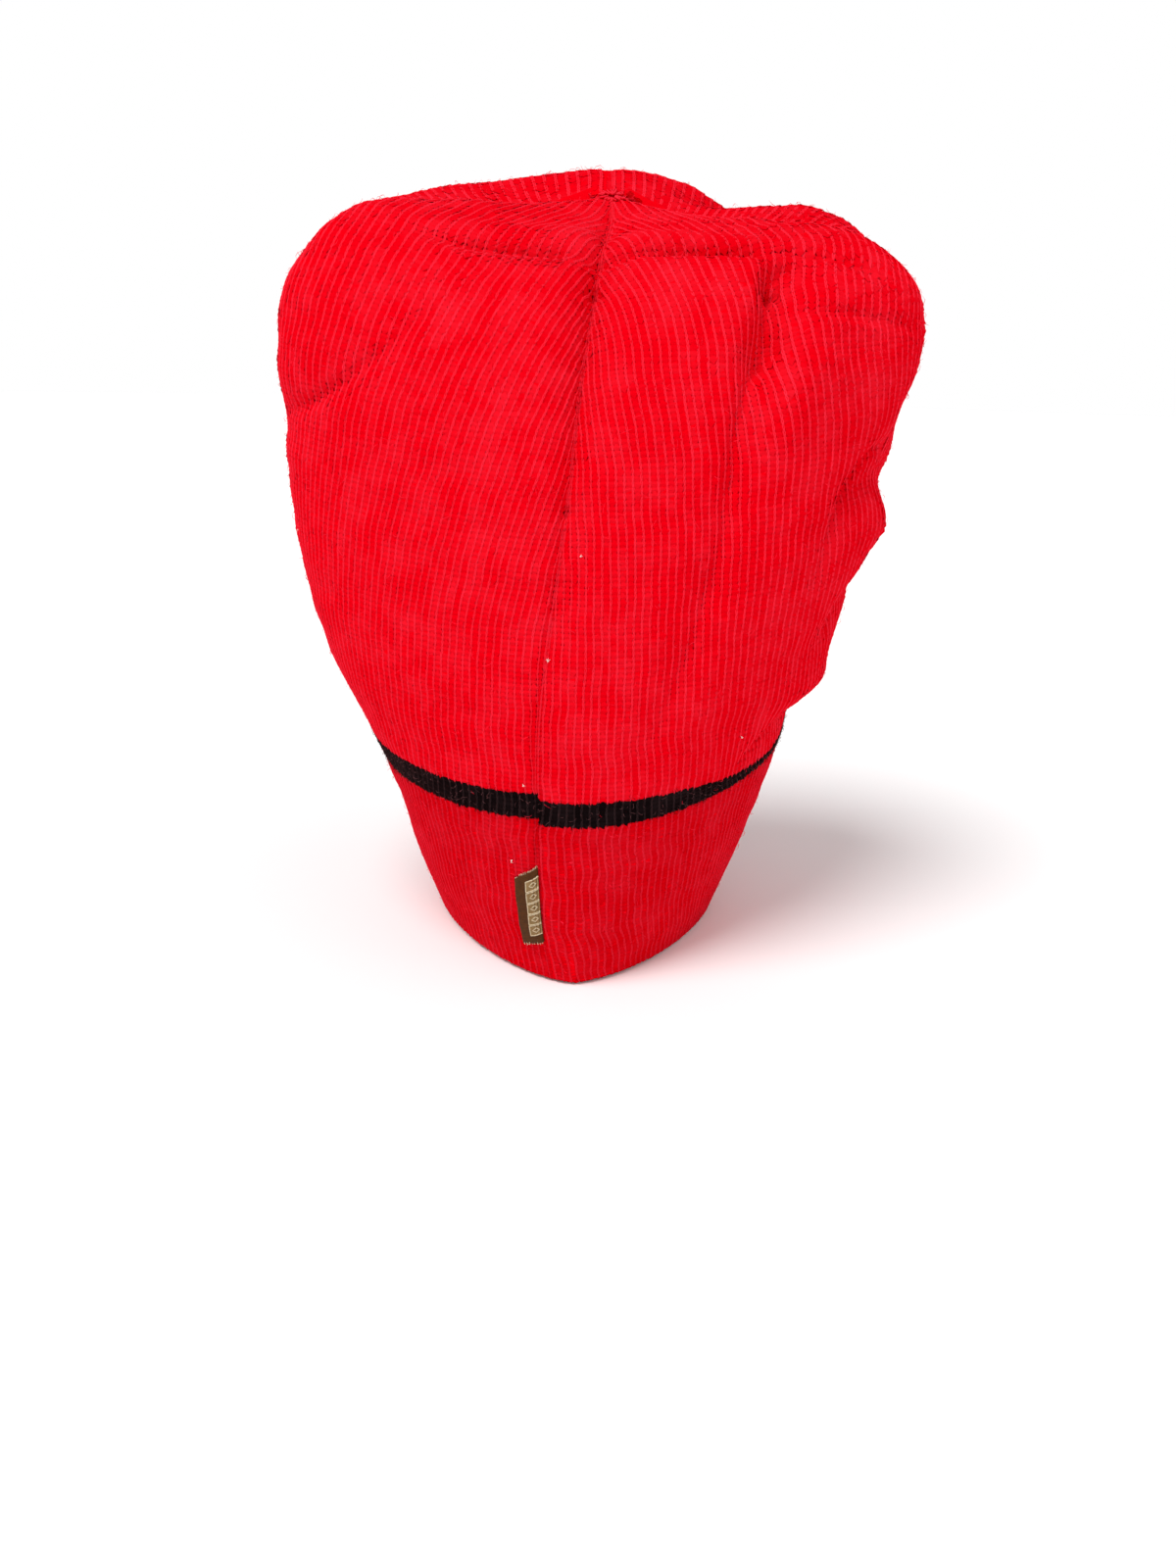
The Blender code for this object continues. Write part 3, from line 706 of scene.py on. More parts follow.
def stitch_object():
    """The V of one stitch, two closed legs of twelve triangles each, and a rung of four."""
    vertices, faces, crest = [], [], []
    for side in (1, -1):
        first = len(vertices)
        vertices.append((side * LEG_FOOT[0], LEG_FOOT[1], LEG_FOOT[2]))
        crest.append(FOOT_CREST)
        for ring in LEG_RINGS:
            for corner, out in ((-1, LEG_INNER_ROOT), (0, ring.out), (1, LEG_ROOT)):
                across = ring.across + corner * ring.half_width
                vertices.append((side * across, ring.up - corner * ring.lean, out))
                # Each leg's ridge gets the full painted highlight, and its roots get painted shade.
                crest.append(1.0 if corner == 0 else 0.0)
        vertices.append((side * LEG_HEAD[0], LEG_HEAD[1], LEG_HEAD[2]))
        crest.append(HEAD_CREST)
        low, high = first + 1, first + 4
        for a in range(3):
            b = (a + 1) % 3
            leg = [(first, low + b, low + a), (low + a, low + b, high + b)]
            leg += [(low + a, high + b, high + a), (high + a, high + b, first + 7)]
            faces += [face if side > 0 else face[::-1] for face in leg]
    faces += [tuple(len(vertices) + corner for corner in face) for face in RUNG_FACES]
    stitch = crested_mesh("stitch", vertices + RUNG, faces, crest + RUNG_CREST)
    # So few faces bend too sharply for smooth shading.
    stitch.data.shade_flat()
    return stitch


STITCH = stitch_object()
print("triangles in a stitch:", len(STITCH.data.polygons))


# %% Geometry Nodes that put a shape on each place
def laying_tree():
    """Instances of one shape on points that carry their own directions, size and tint."""
    tree = bpy.data.node_groups.new("lay stitches", "GeometryNodeTree")
    for name, kind in (
        ("Places", "NodeSocketGeometry"),
        ("Shape", "NodeSocketObject"),
        ("Yarn", "NodeSocketMaterial"),
        ("Turn Scatter", "NodeSocketFloat"),
        ("Size Scatter", "NodeSocketFloat"),
        ("Seed", "NodeSocketInt"),
    ):
        tree.interface.new_socket(name=name, in_out="INPUT", socket_type=kind)
    tree.interface.new_socket(name="Laid", in_out="OUTPUT", socket_type="NodeSocketGeometry")
    given = add_node(tree, "NodeGroupInput").outputs
    reader = "GeometryNodeInputNamedAttribute"
    outward, upward, spread = (
        add_node(tree, reader, {"Name": name}, data_type="FLOAT_VECTOR").outputs["Attribute"]
        for name in ("outward", "upward", "spread")
    )
    facing = add_node(
        tree,
        "FunctionNodeAxesToRotation",
        {"Primary Axis": outward, "Secondary Axis": upward},
        primary_axis="Z",
        secondary_axis="Y",
    )
    next_seed = add_node(tree, "ShaderNodeMath", {0: given["Seed"], 1: 1.0})
    draws = []
    for seed, reach in ((given["Seed"], "Turn Scatter"), (next_seed.outputs[0], "Size Scatter")):
        limits = {0: (-1, -1, -1), 1: (1, 1, 1), "Seed": seed}
        draw = add_node(tree, "FunctionNodeRandomValue", limits, data_type="FLOAT_VECTOR")
        scaled = {0: draw.outputs[0], "Scale": given[reach]}
        draws.append(add_node(tree, "ShaderNodeVectorMath", scaled, operation="SCALE").outputs[0])
    turn = add_node(tree, "FunctionNodeEulerToRotation", {"Euler": draws[0]})
    turned = add_node(
        tree,
        "FunctionNodeRotateRotation",
        {"Rotation": facing.outputs[0], "Rotate By": turn.outputs[0]},
        rotation_space="LOCAL",
    )
    grown = add_node(tree, "ShaderNodeVectorMath", {0: draws[1], 1: (1.0, 1.0, 1.0)})
    size = {0: grown.outputs[0], 1: spread}
    scale = add_node(tree, "ShaderNodeVectorMath", size, operation="MULTIPLY")
    shape = add_node(tree, "GeometryNodeObjectInfo", {"Object": given["Shape"]})
    laid = add_node(
        tree,
        "GeometryNodeInstanceOnPoints",
        {
            "Points": given["Places"],
            "Instance": shape.outputs["Geometry"],
            "Rotation": turned.outputs[0],
            "Scale": scale.outputs[0],
        },
    )
    real = add_node(tree, "GeometryNodeRealizeInstances", {"Geometry": laid.outputs[0]})
    dyed = {"Geometry": real.outputs[0], "Material": given["Yarn"]}
    add_node(tree, "NodeGroupOutput", {0: add_node(tree, "GeometryNodeSetMaterial", dyed).outputs[0]})
    return tree


LAYING_TREE = laying_tree()
SCENE = bpy.context.scene
print("nodes in the laying tree:", len(LAYING_TREE.nodes))

# %% Run the tree and keep a plain mesh
PLACE_VECTORS = ("outward", "upward", "spread")
print("vectors on each place:", PLACE_VECTORS)


def show(piece, slot, *nodes):
    """Link a finished piece, hang it on the root body, and hide the solid parts it stands in for; slot
    is not used.
    """
    SCENE.collection.objects.link(piece)
    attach(piece, "root")
    if nodes:
        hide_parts(*nodes)
    piece.data.calc_loop_triangles()
    print(piece.name, "triangles:", len(piece.data.loop_triangles))


def lay(name, places, shape, yarn, seed, turn_scatter, size_scatter):
    """One mesh with a copy of the shape on every place."""
    cloud = bpy.data.meshes.new(name)
    cloud.from_pydata([tuple(p) for p in places["place"]], [], [])
    for key in PLACE_VECTORS:
        layer = cloud.attributes.new(key, "FLOAT_VECTOR", "POINT")
        layer.data.foreach_set("vector", places[key].astype(np.float32).ravel())
    tint = cloud.attributes.new("tint", "FLOAT", "POINT")
    tint.data.foreach_set("value", places["tint"].astype(np.float32))
    source = bpy.data.objects.new("places", cloud)
    SCENE.collection.objects.link(source)
    modifier = source.modifiers.new("lay", "NODES")
    modifier.node_group = LAYING_TREE
    given = {"Shape": shape, "Yarn": yarn, "Seed": seed}
    given.update({"Turn Scatter": turn_scatter, "Size Scatter": size_scatter})
    for socket in LAYING_TREE.interface.items_tree:
        if socket.name in given:
            modifier[socket.identifier] = given[socket.name]
    depsgraph = bpy.context.evaluated_depsgraph_get()
    mesh = bpy.data.meshes.new_from_object(source.evaluated_get(depsgraph), depsgraph=depsgraph)
    source.modifiers.remove(modifier)
    bpy.data.objects.remove(source)
    for key in PLACE_VECTORS:
        if key in mesh.attributes:
            mesh.attributes.remove(mesh.attributes[key])
    mesh.name = name
    return bpy.data.objects.new(name, mesh)


# %% [markdown]
# ### Yarns
#
# The yarn is a soft wool and acrylic blend, spun and loosely plied. It takes dye deeply, so
# the red is very strong. Light comes back paler from the fuzz on the crest of each stitch and
# deeper from between the legs, and both are painted into its colour: a painted highlight on the
# crest and painted shade between the legs. The fibres scatter light at a glancing angle, which
# is what the sheen is for. There is no gloss on it at all.

# %% Yarn materials
def linear(hex_colour):
    """An sRGB hex colour as the linear colour that a shader takes."""
    channels = [int(hex_colour[i : i + 2], 16) / 255 for i in (0, 2, 4)]
    light = [c / 12.92 if c <= 0.04045 else ((c + 0.055) / 1.055) ** 2.4 for c in channels]
    return (*light, 1.0)


def blank_material(name, colour, constants):
    """A new material, its tree and its shader, with constants on the shader's own sockets."""
    material = bpy.data.materials.new(name)
    material.use_nodes = True
    material.diffuse_color = colour
    shader = material.node_tree.nodes["Principled BSDF"]
    for socket, value in constants.items():
        shader.inputs[socket].default_value = value
    return material, material.node_tree, shader


def dress(tree, shader, share, deep, bright, relief):
    """Colour from deep to bright by a share, and a fine relief that a pattern raises."""
    shade = add_node(tree, "ShaderNodeMix", {0: share, 6: deep, 7: bright}, data_type="RGBA")
    tree.links.new(shade.outputs[2], shader.inputs["Base Color"])
    bump = add_node(tree, "ShaderNodeBump", relief)
    tree.links.new(bump.outputs[0], shader.inputs["Normal"])


def yarn(name, deep, bright, sheen, glow="FF4058"):
    """Dyed yarn: painted shade deep between the legs, a painted highlight on the crest, cloudy dye and
    fine plies.
    """
    deep, bright = linear(deep), linear(bright)
    # Fuzz has no mirror to it: even a little white gloss would wash the red out to pink.
    constants = {"Roughness": 0.9, "Specular IOR Level": 0.0, "Sheen Weight": sheen}
    constants.update({"Sheen Roughness": 0.4, "Sheen Tint": linear(glow)})
    material, tree, shader = blank_material(name, bright, constants)
    place = add_node(tree, "ShaderNodeTexCoord").outputs["Object"]
    tint = add_node(tree, "ShaderNodeAttribute", attribute_name="tint").outputs["Fac"]
    crest = add_node(tree, "ShaderNodeAttribute", attribute_name="crest").outputs["Fac"]
    # Cloudy dye, in patches about 15 mm across.
    cloudy = {"Vector": place, "Scale": 1 / (15 * MM), "Detail": 2.0}
    cloud = add_node(tree, "ShaderNodeTexNoise", cloudy)
    # The share of bright colour: a painted highlight from the crest, a little from the stitch's tint
    # and the clouds.
    line = add_node(tree, "ShaderNodeMath", {0: crest, 1: 3.0}, operation="POWER").outputs[0]
    lift = add_node(tree, "ShaderNodeMath", {0: line, 1: 0.85, 2: -0.17}, operation="MULTIPLY_ADD")
    vary = {0: tint, 1: 0.035, 2: lift.outputs[0]}
    each = add_node(tree, "ShaderNodeMath", vary, operation="MULTIPLY_ADD")
    dye = {0: cloud.outputs["Fac"], 1: 0.4, 2: each.outputs[0]}
    mixed = add_node(tree, "ShaderNodeMath", dye, operation="MULTIPLY_ADD", use_clamp=True)
    # Fibres along the yarn, drawn 0.35 mm across because finer ones don't show.
    fine = {"Vector": place, "Scale": 1 / (0.35 * MM), "Detail": 1.0}
    fibre = add_node(tree, "ShaderNodeTexNoise", fine)
    relief = {"Height": fibre.outputs["Fac"], "Strength": 0.4, "Distance": 0.2 * MM}
    dress(tree, shader, mixed.outputs[0], deep, bright, relief)
    return material


# Deep is the painted shade between the legs, and bright is the painted highlight on the crest.
RED_WOOL = yarn("dyed wool blend, red", "DC0010", "F8364E", 0.10)
# The band is a tighter rib with deeper gaps, so it is in more shade; that shade is painted in as a
# darker copy of the same dye.
SHADED_BAND_WOOL = yarn("dyed wool blend, red, tight rib, painted shade", "C8000C", "E62E44", 0.08)
# Between the stitches only the yarn's plain, even red shows, with no fuzz to catch light.
RED_BACK = yarn("dyed wool blend, red, in the shade", "E4000F", "F20A1E", 0.0)
# Black yarn is never quite black: its fuzz gives it a dull, warm grey bloom through the sheen,
# and the painted highlight on its crests greys it further.
BLACK_WOOL = yarn("dyed wool blend, black", "0C0708", "3A2A2C", 0.2, "A06060")


def thread(name, colour, roughness):
    """Fine thread or single fibres: one dye that varies a little from thread to thread."""
    constants = {"Roughness": roughness, "Specular IOR Level": 0.0}
    material, tree, shader = blank_material(name, linear(colour), constants)
    tint = add_node(tree, "ShaderNodeAttribute", attribute_name="tint").outputs["Fac"]
    value = add_node(tree, "ShaderNodeMath", {0: tint, 1: 0.05, 2: 1.0}, operation="MULTIPLY_ADD")
    hue = {"Value": value.outputs[0], "Color": linear(colour)}
    varied = add_node(tree, "ShaderNodeHueSaturation", hue)
    tree.links.new(varied.outputs[0], shader.inputs["Base Color"])
    return material


# A single fibre lets light through, so it looks paler than the yarn, and quite matt.
RED_FIBRE = thread("loose wool fibre, red", "FF2840", 1.0)
BLACK_FIBRE = thread("loose wool fibre, black", "241618", 1.0)
GREY_FIBRE = thread("loose wool fibre, faded black", "70484A", 1.0)
LINT = thread("cotton lint, white", "F4EDE6", 1.0)
# Rayon has a quiet, silky light, so its threads are less rough than wool.
TAN_THREAD = thread("rayon embroidery thread, tan", "9A7E58", 0.55)
CREAM_THREAD = thread("rayon embroidery thread, cream", "CDBB9C", 0.5)
print("yarns and threads:", len(bpy.data.materials))

# %% The knitted face
STITCH_TURN = math.radians(5)
STITCH_GROWTH = 0.09
QUARTERS = ("front_right", "back_right", "back_left", "front_left")
CLOSED_LEVEL = 0.992


def knit(name, places, dye, seed, slot, node):
    show(lay(name, places, STITCH, dye, seed, STITCH_TURN, STITCH_GROWTH), slot, node)


knit("rim_fold", rim_places(10), SHADED_BAND_WOOL, 1, "red_knit", "rim_band")
knit("band_stitches", wall_places(BAND_EDGES, ALL_WALES, 11), SHADED_BAND_WOOL, 2, "red_knit", "rim_band")
knit("stripe_stitches", wall_places(STRIPE_EDGES, ALL_WALES, 12), BLACK_WOOL, 3, "black_knit", "stripe")
PETAL_COURSES = []
for number, quarter in enumerate(QUARTERS):
    petal_wales = np.flatnonzero(WALE_PETAL == number)
    PETAL_COURSES.append(course_levels(climb(petal_wales), DART_LEVEL, CLOSED_LEVEL))
    crown_edges = np.concatenate([LOWER_EDGES, PETAL_COURSES[-1][1:]])
    crown_places = wall_places(crown_edges, petal_wales, 20 + number)
    knit("crown_" + quarter, crown_places, RED_WOOL, 4 + number, "red_knit", "crown")

# %% [markdown]
# ### The seam and the darts
#
# A seam in knitting is sewn with the same yarn, through the edge stitch of each side. It lies
# down in its own groove, so one sunken column of stitches follows each seam line. A dark line
# in the material could stand for it, but stitches catch the light as the rest of the knit does.

# %% Seam stitches
SEAM_WIDTH = 2.2 * MM
SEAM_SUNK = 0.08 * MM


def seam_places(bearing, levels, seed):
    """One column of stitches down in the groove of a seam or a dart."""
    around, level = bearing[:, None], levels[:, None]
    outward = read_grid(OUTWARD, around, level)
    points = read_grid(OUTER, around, level) - SEAM_SUNK * outward
    keep = np.ones((len(levels) - 1, 1), bool)
    return places_between(points, outward, np.full(keep.shape, SEAM_WIDTH), keep, seed)


front_seam = np.concatenate([LOWER_EDGES, PETAL_COURSES[0][1:]])
seams = [seam_places(seam_bearing(front_seam), front_seam, 15)]
for column, courses in zip((1, 2, 3), PETAL_COURSES):
    dart_bearing = np.interp(courses, np.array(DARTS)[:, 0], np.array(DARTS)[:, column])
    seams.append(seam_places(np.radians(dart_bearing), courses, 15 + column))
seam_stitches = {key: np.concatenate([seam[key] for seam in seams]) for key in seams[0]}
knit("seam_stitches", seam_stitches, RED_WOOL, 9, "red_knit", "crown")

# %% [markdown]
# ### The cloth behind the stitches
#
# Between the legs of the stitches you see the back of the knit, which lies in its own shadow.
# One closed shell stands for it and for the inside of the hat. Stitches all round the inside
# would need as many triangles again, for a face that is hardly seen.

# %% Backing shell
# The front has the sharp creases, so it has the finer columns.
FRONT_COLUMNS = 210
BACK_COLUMNS = 74
BACKING_COLUMNS = FRONT_COLUMNS + BACK_COLUMNS
BACKING_RISE = 2.7 * MM
LINING_STEP = 5
RIM_TURNS = np.radians([30, 60, 90, 120, 150])
# How far below the stripe's edges the black of the backing starts and stops, in levels.
BLACK_START = 0.004
BLACK_STOP = 0.006


def backing_rows(grid, bearing, levels):
    """Rows of points up one face of the backing, stepped at the seam as the courses are."""
    around, level = np.meshgrid(bearing, levels)
    return read_grid(grid, around, jogged(around, level))


def backing_shell():
    """Outer backing, rounded rim and inner face as one closed mesh, black behind the stripe."""
    back = np.linspace(0, math.pi, BACK_COLUMNS, endpoint=False)
    front = np.linspace(math.pi, 2 * math.pi, FRONT_COLUMNS, endpoint=False)
    bearing = np.concatenate([back, front])
    count = int(round(FRONT_CLIMB[-1] / BACKING_RISE))
    levels = np.linspace(RIM_LEVEL, CLOSED_LEVEL, count)
    lining_levels = np.linspace(RIM_LEVEL, CLOSED_LEVEL, count // LINING_STEP)
    face = backing_rows(BACKING, bearing, levels)
    lining = backing_rows(INNER, bearing, lining_levels)
    rim, _ = rim_section(bearing, RIM_TURNS, BACKING_DEPTH)
    rows = np.concatenate([face[::-1], rim, lining])
    faces = []
    for row in range(len(rows) - 1):
        for column in range(BACKING_COLUMNS):
            beside = (column + 1) % BACKING_COLUMNS
            low, high = row * BACKING_COLUMNS, (row + 1) * BACKING_COLUMNS
            faces.append((low + beside, low + column, high + column, high + beside))
    last = (len(rows) - 1) * BACKING_COLUMNS
    faces.append(tuple(range(BACKING_COLUMNS)))
    faces.append(tuple(last + column for column in reversed(range(BACKING_COLUMNS))))
    mesh = bpy.data.meshes.new("knit_backing")
    mesh.from_pydata([tuple(v) for v in rows.reshape(-1, 3)], [], faces)
    mesh.materials.append(RED_BACK)
    mesh.materials.append(BLACK_WOOL)
    mesh.shade_smooth()
    row_level = np.concatenate([levels[::-1], np.zeros(len(RIM_TURNS)), lining_levels])
    black_low, black_high = STRIPE_LOW - BLACK_START, STRIPE_HIGH - BLACK_STOP
    for polygon in mesh.polygons:
        low_level = min(row_level[v // BACKING_COLUMNS] for v in polygon.vertices[:3])
        polygon.material_index = int(black_low < low_level < black_high)
    return bpy.data.objects.new("knit_backing", mesh)


show(backing_shell(), "red_knit", "crown", "stripe", "rim_band")

# %% [markdown]
# ### Loose fibres
#
# Wool is never clean edged. Fibres work out of the yarn and stand up as a thin haze, which is
# what makes the outline of the hat soft. Each one here is an arch or a free end of three
# sides. They are drawn a little thicker than real ones, which would be too fine to show.

# %% Fibre shapes and where they stand
FIBRE_FLAT = 0.06
FIBRE_CREST = 1.3
FIBRE_THICKNESS = 0.11 * MM
FIBRE_LEAN = math.radians(25)
FIBRE_GROWTH = 0.3
# How far the stripe's fuzz reaches past its edges, in levels.
STRIPE_BLUR = 0.003


def fibre_object(name, path):
    """A bent, three-sided fibre along a path of points given as up and out."""
    vertices, faces, crest = [], [], []
    for number, (up, out) in enumerate(path):
        fat = 0.5 if number == len(path) - 1 else 1.0
        for corner in range(3):
            angle = 2 * math.pi * corner / 3
            vertices.append((fat * math.cos(angle), up, out + fat * FIBRE_FLAT * math.sin(angle)))
            crest.append(FIBRE_CREST)
    for number in range(len(path) - 1):
        for corner in range(3):
            beside = (corner + 1) % 3
            a, b = 3 * number + corner, 3 * number + beside
            faces += [(a, a + 3, b + 3), (a, b + 3, b)]
    last = 3 * (len(path) - 1)
    faces += [(0, 1, 2), (last + 2, last + 1, last)]
    return crested_mesh(name, vertices, faces, crest)


ARCH = fibre_object("arched fibre", [(-0.5, 0.0), (-0.2, 0.75), (0.2, 0.9), (0.5, 0.1)])
FREE_END = fibre_object("free fibre", [(-0.5, 0.0), (0.0, 0.3), (0.35, 0.8)])


def fibre_places(seed, count, length, stand, low_level=0.02, high_level=0.99, off_stripe=0.75):
    """Random places over the outer face, with random headings along it, fewer on the stripe."""
    draw = np.random.default_rng(seed)
    tries = count * 3
    bearing = draw.uniform(0, 2 * math.pi, tries)
    level = draw.uniform(low_level, high_level, tries)
    row = np.clip((level * (GRID_LEVELS - 1)).astype(int), 0, GRID_LEVELS - 1)
    on_stripe = (level > STRIPE_LOW - STRIPE_BLUR) & (level < STRIPE_HIGH + STRIPE_BLUR)
    spared = on_stripe & (draw.uniform(0, 1, tries) < off_stripe)
    chosen = np.flatnonzero((draw.uniform(0, GIRTH.max(), tries) < GIRTH[row]) & ~spared)[:count]
    bearing = bearing[chosen]
    level = jogged(bearing, level[chosen])
    outward = read_grid(OUTWARD, bearing, level)
    heading = np.cross(outward, draw.normal(0, 1, outward.shape))
    size = draw.uniform(0.6, 1.4, len(bearing))
    spread = (FIBRE_THICKNESS / 2, size * length, size * stand)
    place = read_grid(OUTER, bearing, level)
    return as_places(place, outward, heading, spread, draw.normal(0, 1, len(bearing)))


def fuzz(name, slot, shape, dye, seed, **where):
    """A piece of loose fibres, whose number, size and levels are given by name."""
    places = fibre_places(seed, **where)
    show(lay(name, places, shape, dye, seed, FIBRE_LEAN, FIBRE_GROWTH), slot)


haze = dict(count=1800, length=2.6 * MM, stand=1.0 * MM)
fuzz("fibre_haze", "red_knit", ARCH, RED_FIBRE, 31, **haze)
ends = dict(count=1300, length=2.2 * MM, stand=1.5 * MM)
fuzz("fibre_ends", "red_knit", FREE_END, RED_FIBRE, 32, **ends)
for part, edge, seed in (("lower", STRIPE_LOW, 33), ("upper", STRIPE_HIGH, 35)):
    beside = dict(count=480, length=1.6 * MM, stand=0.7 * MM, off_stripe=0.0)
    beside.update(low_level=edge - STRIPE_BLUR, high_level=edge + STRIPE_BLUR)
    fuzz("stripe_fuzz_" + part, "black_knit", ARCH, BLACK_FIBRE, seed, **beside)
bloom = dict(count=450, length=1.6 * MM, stand=0.9 * MM, off_stripe=0.0)
bloom.update(low_level=STRIPE_LOW, high_level=STRIPE_HIGH)
fuzz("stripe_fuzz", "black_knit", ARCH, GREY_FIBRE, 34, **bloom)

# %% [markdown]
# ### The folded ribbon tab
#
# A narrow brown satin ribbon is folded over and caught in the front seam. The strip that is
# worked on its right half is plain geometry here: a tan ground, a cream edge and a row of
# diamonds, which is as old as weaving. Each thread of it is a short closed rod, laid by the
# same nodes as the stitches.

# %% Ribbon body
TAB_LENGTH = 33 * MM
TAB_WIDTH = 9.5 * MM
TAB_HEIGHT = 15.5 * MM
TAB_SLANT = 3.5 * MM
TAB_TILT = 2.7 * MM
TAB_LIFT = 1.0 * MM
TAB_UNDER = 0.45 * MM
TAB_TOP = 1.40 * MM
TAB_DIP = 0.75 * MM
TAB_DIP_REACH = 0.12
TAB_CURL = 0.10 * MM
TAB_ROWS = 28
# The ribbon is flat over this share of its width, and rounds over the rest at its fold.
TAB_FLAT = 0.94
TAB_ROUND = 0.06
TAB_STEPS = 8


def tab_point(share, rise, out):
    """Point over the hat: share across from the seam, rise up the tab, and out in metres."""
    height = TAB_HEIGHT + rise * (TAB_LENGTH - share * TAB_SLANT)
    height = height + (1 - share) * TAB_TILT + (1 - rise) * TAB_LIFT
    level = front_level(height)
    row = np.round(level * (GRID_LEVELS - 1)).astype(int)
    scale = GIRTH[row] / (2 * math.pi)
    bearing = seam_bearing(level) - (share * TAB_WIDTH) / scale
    base = read_grid(OUTER, bearing, level)
    normal = read_grid(OUTWARD, bearing, level)
    return base + out[..., None] * normal, normal


def tab_face(share, rise):
    """How far out the ribbon's face lies: it curls a little, and dips into the seam."""
    curl = TAB_CURL * (np.sin(7 * rise + 2 * share) + np.cos(17 * rise))
    return TAB_TOP + curl - TAB_DIP * np.exp(-((share / TAB_DIP_REACH) ** 2))


def ribbon_body():
    """The folded ribbon as one closed body, its rings running from bottom to top."""
    fold = np.radians(np.linspace(-90, 90, 7))
    flat = np.linspace(0, TAB_FLAT, TAB_STEPS + 1)[:-1]
    across = np.concatenate([flat, TAB_FLAT + TAB_ROUND * np.cos(fold), flat[::-1]])
    out = np.concatenate([np.zeros(TAB_STEPS), (1 + np.sin(fold)) / 2, np.ones(TAB_STEPS)])
    rise = np.linspace(0, 1, TAB_ROWS)
    shares, rises = np.meshgrid(across, rise)
    outs = TAB_UNDER + out * (tab_face(shares, rises) - TAB_UNDER)
    points, _ = tab_point(shares, rises, outs)
    ring = len(across)
    faces = []
    for row in range(TAB_ROWS - 1):
        for column in range(ring):
            beside = (column + 1) % ring
            low, high = row * ring, (row + 1) * ring
            faces.append((low + column, high + column, high + beside, low + beside))
    faces.append(tuple(range(ring)))
    faces.append(tuple((TAB_ROWS - 1) * ring + column for column in reversed(range(ring))))
    mesh = bpy.data.meshes.new("tab_ribbon")
    mesh.from_pydata([tuple(p) for p in points.reshape(-1, 3)], [], faces)
    mesh.shade_smooth()
    layer = mesh.uv_layers.new(name="ribbon")
    for loop in mesh.loops:
        row, column = divmod(loop.vertex_index, ring)
        layer.data[loop.index].uv = (across[column] * TAB_WIDTH, rise[row] * TAB_LENGTH)
    return bpy.data.objects.new("tab_ribbon", mesh)


def satin(name, dark, light):
    """Woven polyester satin: close ribs across the ribbon and a soft gloss along them."""
    dark, light = linear(dark), linear(light)
    constants = {"Roughness": 0.6, "Specular IOR Level": 0.12}
    material, tree, shader = blank_material(name, light, constants)
    uv = add_node(tree, "ShaderNodeUVMap", uv_map="ribbon").outputs["UV"]
    # Ribs 0.4 mm apart, which is as fine as the view can hold.
    close = {"Vector": uv, "Scale": 1 / (0.4 * MM) / 6.28}
    ribs = add_node(tree, "ShaderNodeTexWave", close, bands_direction="Y")
    patchy = {"Vector": uv, "Scale": 1 / (2 * MM), "Detail": 3.0}
    mottle = add_node(tree, "ShaderNodeTexNoise", patchy)
    share = {0: ribs.outputs["Fac"], 1: 0.35, 2: mottle.outputs["Fac"]}
    mix = add_node(tree, "ShaderNodeMath", share, operation="MULTIPLY_ADD", use_clamp=True)
    relief = {"Height": ribs.outputs["Fac"], "Strength": 0.35, "Distance": 0.08 * MM}
    dress(tree, shader, mix.outputs[0], dark, light, relief)
    return material


ribbon = ribbon_body()
ribbon.data.materials.append(satin("woven polyester satin, brown", "281003", "54300E"))
show(ribbon, "ribbon", "label_tab")


# %% Threads on the ribbon
def thread_object():
    """A short stretch of thread: a closed rod of three sides, rounded off at its tips."""
    vertices = [(0, -0.5, 0)]
    vertices += [(x * 0.5, y, z) for y in (-0.38, 0.38) for x, z in ((-1, 0), (0, 1), (1, 0))]
    vertices.append((0, 0.5, 0))
    faces = []
    for a in range(3):
        b = (a + 1) % 3
        faces += [(0, 1 + b, 1 + a), (1 + a, 1 + b, 4 + b), (1 + a, 4 + b, 4 + a), (4 + a, 4 + b, 7)]
    return crested_mesh("thread", vertices, faces, [0.5, 0, 1, 0, 0, 1, 0, 0.5])


THREAD = thread_object()
Run = namedtuple("Run", "share_a rise_a share_b rise_b lift wide high")


def thread_places(runs, seed):
    """A place for each run of thread, from one point of the ribbon's face to another."""
    draw = np.random.default_rng(seed)
    runs = Run(*np.array(runs).T)
    out_a, out_b = tab_face(runs.share_a, runs.rise_a), tab_face(runs.share_b, runs.rise_b)
    start, normal = tab_point(runs.share_a, runs.rise_a, out_a + runs.lift)
    end, _ = tab_point(runs.share_b, runs.rise_b, out_b + runs.lift)
    length = np.linalg.norm(end - start, axis=-1)
    spread = (runs.wide, length, runs.high)
    tint = draw.normal(0, 1, len(length))
    return as_places((start + end) / 2, normal, end - start, spread, tint)


STRIP_LEFT = 0.50
STRIP_RIGHT = 0.00
STRIP_LOW = 0.11
STRIP_TOP = 0.90
BLOCKS = 5
BLOCK_GAP = 0.018
GROUND_THREADS = 10
GROUND_THREAD, GROUND_LIFT, GROUND_HIGH = 0.52 * MM, 0.04 * MM, 0.2 * MM
EDGE_THREAD, EDGE_LIFT, EDGE_HIGH = 0.56 * MM, 0.14 * MM, 0.26 * MM
EDGE_STEP = 1.1 * MM
# A lozenge's half height and half width, as shares of its block's.
LOZENGE_TALL, LOZENGE_WIDE = 0.24, 0.5
LOZENGE_THREAD = EDGE_THREAD * 0.8
FRAYED_THREADS = 24
FRAYED_THREAD, FRAYED_HIGH = 0.26 * MM, 0.2 * MM


